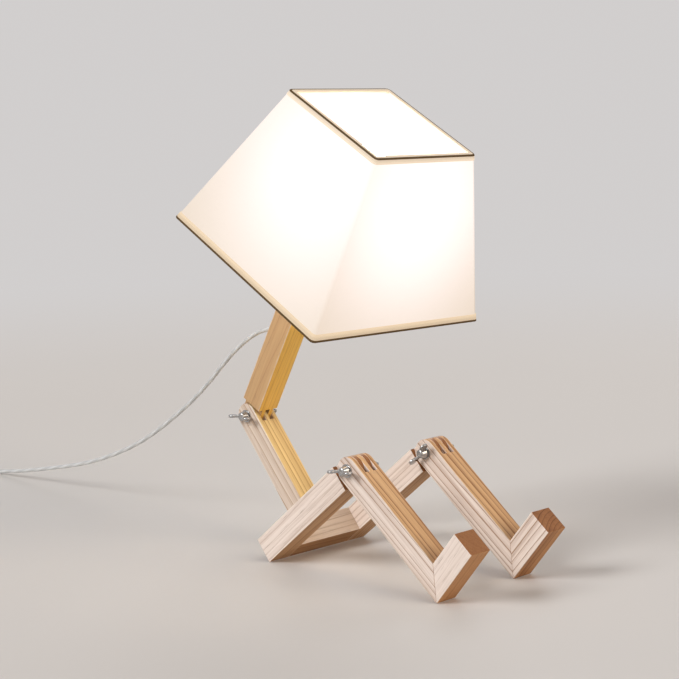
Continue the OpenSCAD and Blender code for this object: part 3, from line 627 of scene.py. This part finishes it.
def makeCords(p):
    finish = makeCordFinish(p)
    coil = coilLine(p["coil"])
    leadWay = [(x, 0, z) for x, z in p["hanging"]] + p["lying"]
    lead, tail, end = (
        spline(way, p["steps"]) for way in (leadWay, p["tail"] + [coil[0]], [coil[-1]] + p["end"]))
    for name, way in (("leadCord", lead), ("plugCord", tail[:-1] + coil + end[1:])):
        line = [q * mm for q in way]
        yield tube(name, line, p["radius"] * mm, p["sides"], finish), line

(leadCord, leadLine), (plugCord, plugLine) = makeCords(cordPlan)
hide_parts("cord_lead")
place(plugCord, "seat", "clear_cord", "cord_tail", "cord_coil", "cord_end")
print("cord lengths", round(pathLength(leadLine), 4), round(pathLength(plugLine), 4))


# timber: eased copies of the solids

timberPlan = {
    "ease": (0.6, 2),   # width in mm, segments
    "bars": {
        # node: body, origin, way along it, turn from there to its top face, tone of painted light and shade,
        # seed, heart of the tree, ring strength, wander
        "thigh_right": ("seat", "knee", thigh, 90, "thigh", 1.3, (0, 0.02, 0.034), 0.34, 0.006),
        "thigh_left": ("seat", "knee", thigh, 90, "thigh", 2.9, (0, -0.03, 0.022), 0.42, 0.006),
        "torso_lower": ("seat", "elbow", thigh + 90, -90, "lap", 4.1, (0, 0.034, -0.018), 0.6, 0.007),
        "shin_right": ("leg_right", "knee", shin, 90, "", 5.7, (0, 0.034, 0.036), 0.8, 0.004),
        "shin_left": ("leg_left", "knee", shin, 90, "", 7.2, (0, 0.030, 0.040), 0.85, 0.005),
        "foot_right": ("leg_right", "heel", shin + 90, 90, "foot", 8.8, (0, 0.04, 0.03), 0.16, 0.006),
        "foot_left": ("leg_left", "heel", shin + 90, 90, "foot", 9.6, (0, 0.020, -0.042), 0.8, 0.005),
        "torso_upper": ("upper_body", "elbow", upper, 90, "warm", 11.4, (0, 0.034, -0.022), 0.38, 0.007),
        "neck_block": ("upper_body", "neck", upper + 90, -90, "warm", 12.7, (0, 0.02, 0.03), 0.5, 0.006),
    },
    # the crossbar's tone is painted shade
    "crossbar": {"seed": 14.2, "tone": "cross", "rings": 0.42}, "dowels": {"seed": 15.5},
}

easing = {"merge": 2e-6, "flat": 0.6, "sharp": 30, "smooth": 24}   # metres, then degrees

def easedMesh(node, ease, rounds):
    # a CAD node's mesh, merged and with its flat faces whole, gets its edges rounded
    mesh = cadNodes[node].data.copy()
    mesh.materials.clear()
    work = bmesh.new()
    work.from_mesh(mesh)
    bmesh.ops.remove_doubles(work, verts=work.verts, dist=easing["merge"])
    bmesh.ops.dissolve_limit(work, angle_limit=radians(easing["flat"]), verts=work.verts, edges=work.edges)
    work.to_mesh(mesh)
    work.free()
    thing = addObject("easing", mesh)
    bevel = thing.modifiers.new("ease", "BEVEL")
    bevel.width, bevel.segments, bevel.limit_method = ease * mm, rounds, "ANGLE"
    bevel.angle_limit = radians(easing["sharp"])
    bevel.use_clamp_overlap = True
    result = frozen(thing).data
    bpy.data.objects.remove(thing)
    smoothShade(result, easing["smooth"])
    return result

def easedPiece(name, node, body, slotName, finish, ease, extras=()):
    # extras are meshes that join the eased copy, such as ribs
    mesh = easedMesh(node, *ease)
    if extras:
        mesh = joined(name, [mesh, *extras])
    mesh.name = name
    return place(addObject(name, mesh, [finish]), body, slotName, node)

def makeTimber(p):
    origins = {"knee": knee, "elbow": elbow, "heel": knee + lamp["heelReach"] * mm * along(shin),
               "neck": elbow + lamp["neckReach"] * mm * along(upper)}
    sides = {"right": -1, "left": 1}
    for node, (body, start, axis, turn, tone, *grain) in p["bars"].items():
        origin = origins[start].copy()
        origin.y = lamp["legSpacing"] * mm * sides.get(node.split("_")[1], 0)
        seed, pith, rings, wander = grain
        finish = timberFinish(camel(node) + "Grain", origin, along(axis), along(axis + turn), seed, tone,
                              pith, rings, wander)
        slotName = "timber_upper" if body == "upper_body" else "timber"
        easedPiece(camel(node) + "Timber", node, body, slotName, finish, p["ease"])
    middle = seatCorner + halfBar * along(thigh) + halfBar * along(thigh + 90)
    across = (middle, (0, 1, 0), along(thigh + 90))
    cross = timberFinish("crossbarGrain", *across, **p["crossbar"])
    easedPiece("seatCrossbarTimber", "seat_crossbar", "seat", "timber", cross, p["ease"])
    dress(timberFinish("dowelGrain", *across, **p["dowels"]), "seat_dowels")

makeTimber(timberPlan)
print("timber ready")


# wing screws, with a cut thread on the standing end; z is 0 at the washer and grows outward, in mm

screwPlan = {
    "shank": 2.5, "root": 2.08, "pitch": 0.8, "sides": 28, "perTurn": 8, "washer": 1,
    "tip": 14, "runOut": 1.5, "chamfer": 1.2, "nose": 1.0, "noseGrows": 1.6,
    "span": 28, "wing": 2.4, "wingHeight": 12, "wingEase": 0.75,
    "lobe": {"radius": 4, "from": -62, "step": 20, "points": 11},
    "hub": [(0, 0), (4.25, 0), (4.75, 0.4), (4.75, 1.3), (4.4, 1.9), (4.0, 5.9), (3.65, 6.6), (2.95, 7),
            (1.9, 7), (1.5, 6.5), (0, 6.4)],
    "wingFoot": [(1.0, 0.9), (4.2, 0.9), (6.4, 2.0), (9.4, 3.9)],
    "wingNeck": [(6.6, 9.3), (5.2, 7.4), (4.2, 6.2), (1.0, 6.2)],
    "screws": {
        # node: body, pivot, place along Y, turn of the wings
        "elbow_wing_screw": ("elbow_screw", elbow, 0, 0),
        "knee_wing_screw_right": ("knee_screw_right", knee, -50, 4),
        "knee_wing_screw_left": ("knee_screw_left", knee, 50, 48),
    },
}

def threadedShank(p):
    # a true helix: the ridge's height follows both the turn and the place along the shank
    sides, bottom = p["sides"], -(p["washer"] + lamp["barWidth"] + p["tip"])
    rows, z = [], bottom
    while z < bottom + p["tip"] + p["runOut"]:
        ring, depth = [], z - bottom
        for k, (x, y, height) in enumerate(ringPoints(1, z, sides)):
            phase = (z / p["pitch"] + k / sides) % 1
            ridge = min(1, max(0, 1.5 - abs(phase - 0.5) * 4))   # a flat crest, and flanks down to the root
            r = p["root"] + (p["shank"] - p["root"]) * ridge
            if depth < p["chamfer"]:
                r = min(r, p["nose"] + p["noseGrows"] * sqrt(depth / p["chamfer"]))
            ring.append((r * x, r * y, height))
        rows.append(ring)
        z += p["pitch"] / p["perTurn"]
    for z in (bottom + p["tip"] + p["runOut"] + 0.05, 0.5):
        rows.append(ringPoints(p["shank"], z, sides))
    last = (len(rows) - 1) * sides
    faces = [face for start in range(0, last, sides) for face in band(start, start + sides, sides)]
    faces += [tuple(reversed(range(sides))), tuple(range(last, last + sides))]
    return meshFrom("shank", [Vector(q) * mm for ring in rows for q in ring], faces)

def wingMesh(p, side):
    r, first, gap, count = (p["lobe"][k] for k in ("radius", "from", "step", "points"))
    cx, cz, half = p["span"] / 2 - r, p["wingHeight"] - r, p["wing"] / 2
    turns = [radians(first + gap * k) for k in range(count)]
    outline = p["wingFoot"] + [(cx + r * cos(t), cz + r * sin(t)) for t in turns] + p["wingNeck"]
    blank = bmesh.new()
    low, high = ([blank.verts.new((side * x, y, z)) for x, z in outline] for y in (-half, half))
    blank.faces.new(low)
    blank.faces.new(high)
    for i in range(len(outline)):
        j = (i + 1) % len(outline)
        blank.faces.new((low[i], low[j], high[j], high[i]))
    bmesh.ops.recalc_face_normals(blank, faces=blank.faces)
    rim = [e for e in blank.edges if abs(e.verts[0].co.y - e.verts[1].co.y) < 1e-6]
    bmesh.ops.bevel(blank, geom=rim, offset=p["wingEase"], segments=3, profile=0.5, affect="EDGES")
    bmesh.ops.recalc_face_normals(blank, faces=blank.faces)
    blank.transform(Matrix.Scale(mm, 4))
    mesh = bpy.data.meshes.new("wing")
    blank.to_mesh(mesh)
    blank.free()
    return mesh

def makeWingScrew(node, body, pivot, y, turn, p):
    seat = y - lamp["barWidth"] / 2 - p["washer"]
    toWorld = Matrix.Translation((pivot.x, seat * mm, pivot.z)) @ turned(90, "X") @ turned(turn, "Z")
    hub = lathe("hub", p["hub"], Matrix.Identity(4), zincFinish, 40)
    name = camel(node) + "Cast"
    mesh = joined(name, [threadedShank(p), hub.data, wingMesh(p, 1), wingMesh(p, -1)], 40)
    bpy.data.objects.remove(hub)
    mesh.transform(toWorld)
    place(addObject(name, mesh, [zincFinish]), body, "zinc_steel", node)

for node, row in screwPlan["screws"].items():
    makeWingScrew(node, *row, screwPlan)
dress(zincFinish, "elbow_washer", "knee_washer_right", "knee_washer_left")
dress(brassFinish, "elbow_insert", "knee_insert_right", "knee_insert_left")
print("wing screws ready")


# the head: lampholder, bulb and shade, in mm above the neck

shadePlan = {
    "low": -28, "high": 124, "bottom": 206, "top": 122, "cloth": 0.8, "corner": 3.4, "turn": -1.5,
    "inset": 0.6, "rows": 22, "perSide": 18, "bow": 1.1,
}
headTo = Matrix.Translation(headFoot) @ turned(90 - upper, "Y")
shadeTo = headTo @ turned(shadePlan["turn"], "Z")
slope = (shadePlan["bottom"] - shadePlan["top"]) / 2 / (shadePlan["high"] - shadePlan["low"])
lean = hypot(1, slope)

def squareRing(z, out, corner, bow=0.0):
    # points round the shade at a height, out from its skin, with small round corners; bow pulls the sides in
    half = shadePlan["bottom"] / 2 - slope * (z - shadePlan["low"]) + out * lean
    points, c, perSide = [], half - corner, shadePlan["perSide"]
    for quarter in range(4):
        turn = pi / 2 * quarter
        for k in range(4):
            t = pi / 2 * k / 3
            points.append((turn, c + corner * cos(t), c + corner * sin(t)))
        for k in range(1, perSide):
            s = k / perSide
            points.append((turn, c * (1 - 2 * s), half - bow * sin(pi * s) ** 0.8))
    return [Vector((cos(t) * x - sin(t) * y, sin(t) * x + cos(t) * y, z)) * mm for t, x, y in points]

def ringLoft(name, rings, finishes, second, angle):
    # a closed skin with a UV map in metres, round and along; second holds the rows with the second finish
    count, rows = len(rings[0]), len(rings)
    points = [shadeTo @ q for ring in rings for q in ring]
    faces, corners, rowMaps, run = [], [], [], 0
    for i in range(rows):
        row, around = points[i * count:(i + 1) * count], [0]
        if i:
            run += (row[count // 8] - points[(i - 1) * count + count // 8]).length
        for k in range(count):
            around.append(around[-1] + (row[(k + 1) % count] - row[k]).length)
        rowMaps.append((around, run))
    rowMaps.append((rowMaps[0][0], run + 0.001))
    for i in range(rows):
        faces += band(i * count, (i + 1) % rows * count, count)
        (a, runA), (b, runB) = rowMaps[i:i + 2]
        for k in range(count):
            corners += [(a[k], runA), (a[k + 1], runA), (b[k + 1], runB), (b[k], runB)]
    mesh = meshFrom(name, points, faces)
    mapFaces(mesh, "clothMap", corners)
    for face in mesh.polygons:
        face.material_index = int(face.index // count in second)
    turnOutward(mesh)
    smoothShade(mesh, angle)
    return addObject(name, mesh, finishes)

glowPlan = {
    "cloth": (0.25, 0.243, 0.232), "warm": (1.0, 0.785, 0.56), "cool": (1.0, 0.885, 0.835), "strength": 0.99,
    "bulb": (17, 0, 67.7), "near": 0.078, "power": 0.6,
    "toneRange": (0.42, 0.95), "weaveLight": 0.06, "worn": 0.88,
    "seam": {"width": 0.012, "edge": 0.0006, "light": 0.82},
    # light that the thread lets through, and painted shade across the folded tape, darker towards its outer
    # edge
    "tapeThread": (0.86, 1.0), "tapeRollShade": {"from": 0.001, "to": 0.0045, "light": (1.12, 0.82)},
}

def makeClothFinish(name, look):
    finish, t, shader = newFinish(name, {
        "Roughness": 0.85, "Sheen Weight": 0.15, "Emission Strength": look["strength"]})
    cloth = step(t, "ShaderNodeUVMap", uv_map="clothMap")[0]
    weave = useGroup(t, plainWeave, {"Map": cloth})
    glow = useGroup(t, lampGlow, {
        "Place": objectPlace(t), "Bulb": headTo @ (Vector(look["bulb"]) * mm),
        "Near": look["near"], "Power": look["power"]})["Light"]
    # the cloth is doubled along its one glued seam, and less light comes through there
    width, edge, dim = (look["seam"][k] for k in ("width", "edge", "light"))
    seam = ramp(t, split(t, cloth)[0], width, width + edge, dim, 1.0)
    light = times(t, times(t, glow, plus(t, 1.0, times(t, weave["Shade"], look["weaveLight"]))), seam)
    tone = blendColour(t, "MIX", ramp(t, glow, *look["toneRange"]), look["warm"], look["cool"])
    worn = tuple(c * look["worn"] for c in look["cloth"])
    shade = times(t, weave["Shade"], 0.25, clamp=True)
    feed(t, shader, {
        "Base Color": blendColour(t, "MIX", shade, look["cloth"], worn),
        "Emission Color": blendColour(t, "MULTIPLY", 1.0, tone, even(t, light)),
        "Normal": bumped(t, weave["Height"], 0.18, 0.00015)})
    return finish

def makeTapeFinish(name, colour, glow, look):
    # the folded tape's glow is darker towards its outer edge: painted shade of the rolled hem
    finish, t, shader = newFinish(name, {
        "Roughness": 0.8, "Specular IOR Level": 0.2, "Emission Strength": 1.0})
    cloth = step(t, "ShaderNodeUVMap", uv_map="clothMap")[0]
    weave = useGroup(t, plainWeave, {"Map": cloth, "Threads": 1500.0, "Slub": 0.8})["Height"]
    thread = ramp(t, weave, 0.2, 0.9, *look["tapeThread"])
    edge = look["tapeRollShade"]
    through = times(t, thread, ramp(t, split(t, cloth)[1], edge["from"], edge["to"], *edge["light"]))
    base, light = (blendColour(t, "MULTIPLY", 1.0, full, even(t, part))
                   for full, part in ((colour, thread), (glow, through)))
    feed(t, shader, {"Base Color": base, "Emission Color": light, "Normal": bumped(t, weave, 0.35, 0.0003)})
    return finish

clothFinish = makeClothFinish("shadeCloth", glowPlan)
tapeFinish = makeTapeFinish("hemTape", (0.32, 0.24, 0.16), (0.60, 0.485, 0.345), glowPlan)
topTapeFinish = makeTapeFinish("topHemTape", (0.45, 0.375, 0.285), (0.56, 0.465, 0.36), glowPlan)
# the rim rows are dark brown and let no glow through
darkRimFinish = makeTapeFinish("darkRim", (0.13, 0.078, 0.032), (0, 0, 0), glowPlan)

hemPlan = {
    # piece: node, edge, finish, rows of the dark rim, and the fold as (out from the cloth, above the edge)
    "bottomHemTape": ("shade_hem_bottom", "low", tapeFinish, range(4, 9), [
        (0.02, 6.8), (0.46, 6.7), (0.66, 6.2), (0.76, 4.4), (0.9, 2.2), (0.97, 1.3), (0.96, 0.7),
        (0.6, 0.15), (0.1, 0.0), (-1.6, 0.0), (-4.3, 0.1), (-4.4, 0.45), (-2.0, 0.5), (0.02, 0.55)]),
    "topHemTape": ("shade_hem_top", "high", topTapeFinish, range(4, 8), [
        (0.02, -5.0), (0.36, -4.9), (0.5, -4.4), (0.56, -1.6), (0.62, -1.0), (0.62, -0.7), (0.4, -0.15),
        (0.0, 0.0), (-1.1, 0.0), (-4.3, -0.1), (-4.4, -0.45), (-2.0, -0.5), (0.02, -0.6)]),
}

def makeShade(p):
    low, high, rows = p["low"] + p["inset"], p["high"] - p["inset"], p["rows"]
    outer, inner = [], []
    for i in range(rows + 1):
        s = i / rows
        z, bow = low + (high - low) * s, p["bow"] * sin(pi * s) ** 0.9
        outer.append(squareRing(z, 0, p["corner"], bow))
        inner.append(squareRing(z, -p["cloth"], p["corner"] - p["cloth"], bow))
    lined = range(rows + 1, 2 * rows + 1)
    cloth = ringLoft("shadeClothLaminate", outer + inner[::-1], [clothFinish, liningFinish], lined, 60)
    place(cloth, "upper_body", "shade_cloth", "shade_cloth")
    for name, (node, edge, finish, rim, fold) in hemPlan.items():
        rings = [squareRing(p[edge] + up, out, max(p["corner"] + out, 0.6)) for out, up in fold]
        place(ringLoft(name, rings, [finish, darkRimFinish], rim, 50), "upper_body", "hem_tape", node)

makeShade(shadePlan)
dress(wireFinish, "shade_spider", "shade_top_wire")
print("shade ready")

holderPlan = {
    "ease": (0.45, 2),
    "mouldings": {
        # piece: node and its grip ribs
        "holderCapMoulding": ("holder_cap", [
            {"Count": 32, "Radius": 18.95, "Base Height": 13.6, "Rib Length": 4.2, "Rib Radius": 0.55}]),
        "shadeRingNutMoulding": ("shade_ring_nut", [
            {"Count": 30, "Radius": 22.3, "Base Height": 22.6, "Rib Length": 3.6, "Rib Radius": 0.75}]),
        "holderSleeveMoulding": ("holder_sleeve", []),
    },
}

def makeHolder(p):
    for name, (node, ribs) in p["mouldings"].items():
        extras = [grown(ribRing, sizes, whitePlastic, headTo) for sizes in ribs]
        easedPiece(name, node, "upper_body", "white_plastic", whitePlastic, p["ease"], extras)

makeHolder(holderPlan)
dress(whitePlastic, "holder_insert")
dress(brassFinish, "holder_tube", "screw_shell", "centre_contact")
dress(zincFinish, "holder_washer")
dress(sleeveFinish, "inner_lead", "cord_sleeve")
print("lampholder ready")

bulbPlan = {
    "glow": 20.0, "tint": (1.0, 0.72, 0.38), "tintEdge": (1.0, 0.77, 0.46), "glass": (0.95, 0.93, 0.88),
    "globe": {"radius": 22.45, "centre": 75.7, "edge": 69.75, "steps": 24},
    # housing and cap as (radius, height), from the bottom up
    "housingFoot": [(0, 46.75), (14.3, 46.75), (14.45, 47.4), (14.5, 49.2), (15.4, 50.4)],
    "flare": {"from": (15.5, 50.6), "to": (21.5, 67.6), "power": 1.2, "steps": 8},
    "housingRim": [(21.62, 68.2), (21.62, 69.6), (0, 69.6)],
    "capFoot": [(0, 23.7), (4.3, 23.7), (4.9, 24.6), (7.5, 25.6), (11.4, 27.0), (12.3, 28.0)],
    "thread": {"from": 28.6, "pitch": 3.6, "turns": 5,
               "ridge": [(12.3, 0), (12.9, 0.9), (13.18, 1.6), (12.9, 2.3)]},
    "capRim": [(12.4, 45.0), (13.0, 45.6), (13.15, 46.6), (0, 46.6)],
}

def makeOpalFinish(p):
    finish, t, shader = newFinish("opalGlobe", {"Emission Strength": p["glow"], "Base Color": p["glass"]})
    used = useGroup(t, handlingMarks, {"Place": objectPlace(t), "Base Roughness": 0.35})
    tint = blendColour(t, "MIX", times(t, used["Mask"], 0.3), p["tint"], p["tintEdge"])
    feed(t, shader, {"Emission Color": tint, "Roughness": used["Roughness"]})
    return finish

def makeBulb(p):
    r, centre, edge, steps = (p["globe"][k] for k in ("radius", "centre", "edge", "steps"))
    start = asin((edge - centre) / r)
    turns = [start + (pi / 2 - start) * k / steps for k in range(steps)]
    globe = [(0, edge)] + [(r * cos(t), centre + r * sin(t)) for t in turns] + [(0, centre + r)]
    opal = lathe("bulbGlobeOpal", globe, headTo, makeOpalFinish(p), angle=60)
    place(opal, "bulb", "bulb_opal", "bulb_globe")
    (r0, z0), (r1, z1), power, steps = (p["flare"][k] for k in ("from", "to", "power", "steps"))
    flare = [(r0 + (r1 - r0) * (k / steps) ** power, z0 + (z1 - z0) * k / steps) for k in range(steps + 1)]
    housing = p["housingFoot"] + flare + p["housingRim"]
    place(lathe("bulbHousingMoulding", housing, headTo, whitePlastic), "bulb", "bulb_housing", "bulb_housing")
    thread = p["thread"]
    ridges = [(r, thread["from"] + thread["pitch"] * k + up)
              for k in range(thread["turns"]) for r, up in thread["ridge"]]
    cap = p["capFoot"] + ridges + p["capRim"]
    place(lathe("bulbCapThreaded", cap, headTo, capFinish, angle=50), "bulb", "bulb_metal", "bulb_cap")

makeBulb(bulbPlan)
print("bulb ready")


# switch, plug and tie

fittingPlan = {
    "rockerPin": (-634, -98, 11.8), "rockerTilt": 7,
    "plugPlace": (-573.4, -140, 0), "tiePlace": (-603.7, -246, 0),
    "rockerRibs": {"Count": 4, "First Place": (3.4, 0, 3.75), "Spacing": (0.85, 0, 0.052),
                   "Tooth Size": (0.34, 5.4, 0.4)},
    "reliefRings": {"Count": 6, "First Place": (-21.5, 0, 7.5), "Last Place": (-2.5, 0, 7.5),
                    "First Radius": 3.05, "Last Radius": 4.75, "Band": 0.6},
    "gripRibs": {"Count": 6, "First Place": (11, 0, 15.0), "Spacing": (2.1, 0, 0),
                 "Tooth Size": (0.8, 13, 0.5)},
    "tieTeeth": {"Count": 15, "First Place": (0, -7, 10.7), "Spacing": (0, 1.0, 0),
                 "Tooth Size": (4.2, 0.4, 0.3)},
}

def makeFittings(p):
    rockerTo, plugTo, tieTo = (
        Matrix.Translation(Vector(p[k]) * mm) for k in ("rockerPin", "plugPlace", "tiePlace"))
    rockerTo = rockerTo @ turned(90, "Z") @ turned(p["rockerTilt"], "Y")
    plugTo = plugTo @ turned(90, "Z")
    rockerRibs = grown(toothRow, p["rockerRibs"], whitePlastic, rockerTo)
    reliefRings = grown(sleeveRings, p["reliefRings"], switchPlastic, plugTo)
    gripRibs = grown(toothRow, p["gripRibs"], switchPlastic, plugTo)
    teeth = grown(toothRow, p["tieTeeth"], tieFinish, tieTo)
    smoked = ("switch_plastic", switchPlastic)
    easedPiece("switchBaseMoulding", "switch_base", "seat", *smoked, (0.5, 2))
    easedPiece("switchCoverMoulding", "switch_cover", "seat", *smoked, (0.9, 3))
    easedPiece("switchRockerMoulding", "switch_rocker", "rocker", "switch_plastic", whitePlastic, (0.35, 2),
               [rockerRibs])
    easedPiece("plugGripMoulding", "plug_body", "seat", *smoked, (1.6, 3), [reliefRings, gripRibs])
    easedPiece("coilTieStrap", "coil_tie", "seat", "tie_plastic", tieFinish, (0.25, 2), [teeth])

makeFittings(fittingPlan)
dress(brassFinish, "switch_contacts", "plug_blades")
dress(zincFinish, "switch_screws")
print("switch and plug ready")

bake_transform(leadCord)
tuple(leadLine[0])
round(pathLength(leadLine), 4)
[tuple(q) for q in leadLine]
tuple(plugLine[0])
round(pathLength(plugLine), 4)
[tuple(q) for q in plugLine]


# floor, backdrop and lights

stagePlan = {
    "floor": (0.65, 0.615, 0.58), "far": (0.64, 0.62, 0.615), "ambient": (0.30, 0.30, 0.315),
    "fadeFrom": 0.9, "fadeTo": 2.6, "size": 6, "drop": 0.0003,
    "lamps": {
        # name: the way to it, how wide it looks in degrees, strength, colour
        "windowLight": ((-0.250, -0.800, 0.545), 26, 2.14, (0.96, 0.98, 1.0)),
        "roomLight": ((0.887, 0.207, 0.411), 36, 1.25, (1.0, 0.85, 0.68)),
        "backLight": ((-0.397, 0.638, 0.659), 26, 0.40, (0.96, 0.97, 1.0)),
    },
}

def seenDirectly(t):
    # camera, mirror and glass rays, which see the plain background
    path = step(t, "ShaderNodeLightPath")
    seen = calc(t, "MAXIMUM", path["Is Camera Ray"], path["Is Glossy Ray"])
    return calc(t, "MAXIMUM", seen, path["Is Transmission Ray"])

def makeFloor(p):
    corners = [(x * p["size"], y * p["size"], -p["drop"]) for x, y in ((-1, -1), (1, -1), (1, 1), (-1, 1))]
    finish, t, shader = newFinish("paleFloor", {"Roughness": 0.6, "Specular IOR Level": 0.2})
    spot = objectPlace(t)
    mottled = blendColour(t, "MIX", noise(t, spot, 3.0), p["floor"], tuple(c * 1.02 for c in p["floor"]))
    feed(t, shader, {"Base Color": mottled})
    # the floor fades into the colour of the world, so no edge shows
    distance = ramp(t, vecCalc(t, "LENGTH", spot), p["fadeFrom"], p["fadeTo"])
    far = step(t, "ShaderNodeEmission", {"Color": p["far"]})
    mixed = step(t, "ShaderNodeMixShader", {
        0: times(t, distance, seenDirectly(t)), 1: shader.outputs[0], 2: far[0]})
    feed(t, t.nodes["Material Output"], {"Surface": mixed[0]})
    addObject("floor", meshFrom("floor", corners, [(0, 1, 2, 3)]), [finish])

def makeWorld(p):
    scene.world = bpy.data.worlds.new("room")
    scene.world.use_nodes = True
    t = scene.world.node_tree
    colour = blendColour(t, "MIX", seenDirectly(t), p["ambient"], p["far"])
    feed(t, t.nodes["Background"], {"Color": colour, "Strength": 1.0})

def softLight(name, way, width, strength, colour):
    # a broad, distant light, so that the floor is lit evenly
    data = bpy.data.lights.new(name, "SUN")
    data.angle, data.energy, data.color = radians(width), strength, colour
    light = bpy.data.objects.new(name, data)
    light.location = 3 * Vector(way)
    light.rotation_euler = Vector(way).to_track_quat("Z", "Y").to_euler()
    scene.collection.objects.link(light)

makeFloor(stagePlan)
makeWorld(stagePlan)
for name, values in stagePlan["lamps"].items():
    softLight(name, *values)
scene.view_settings.view_transform = "Standard"
print("stage ready")
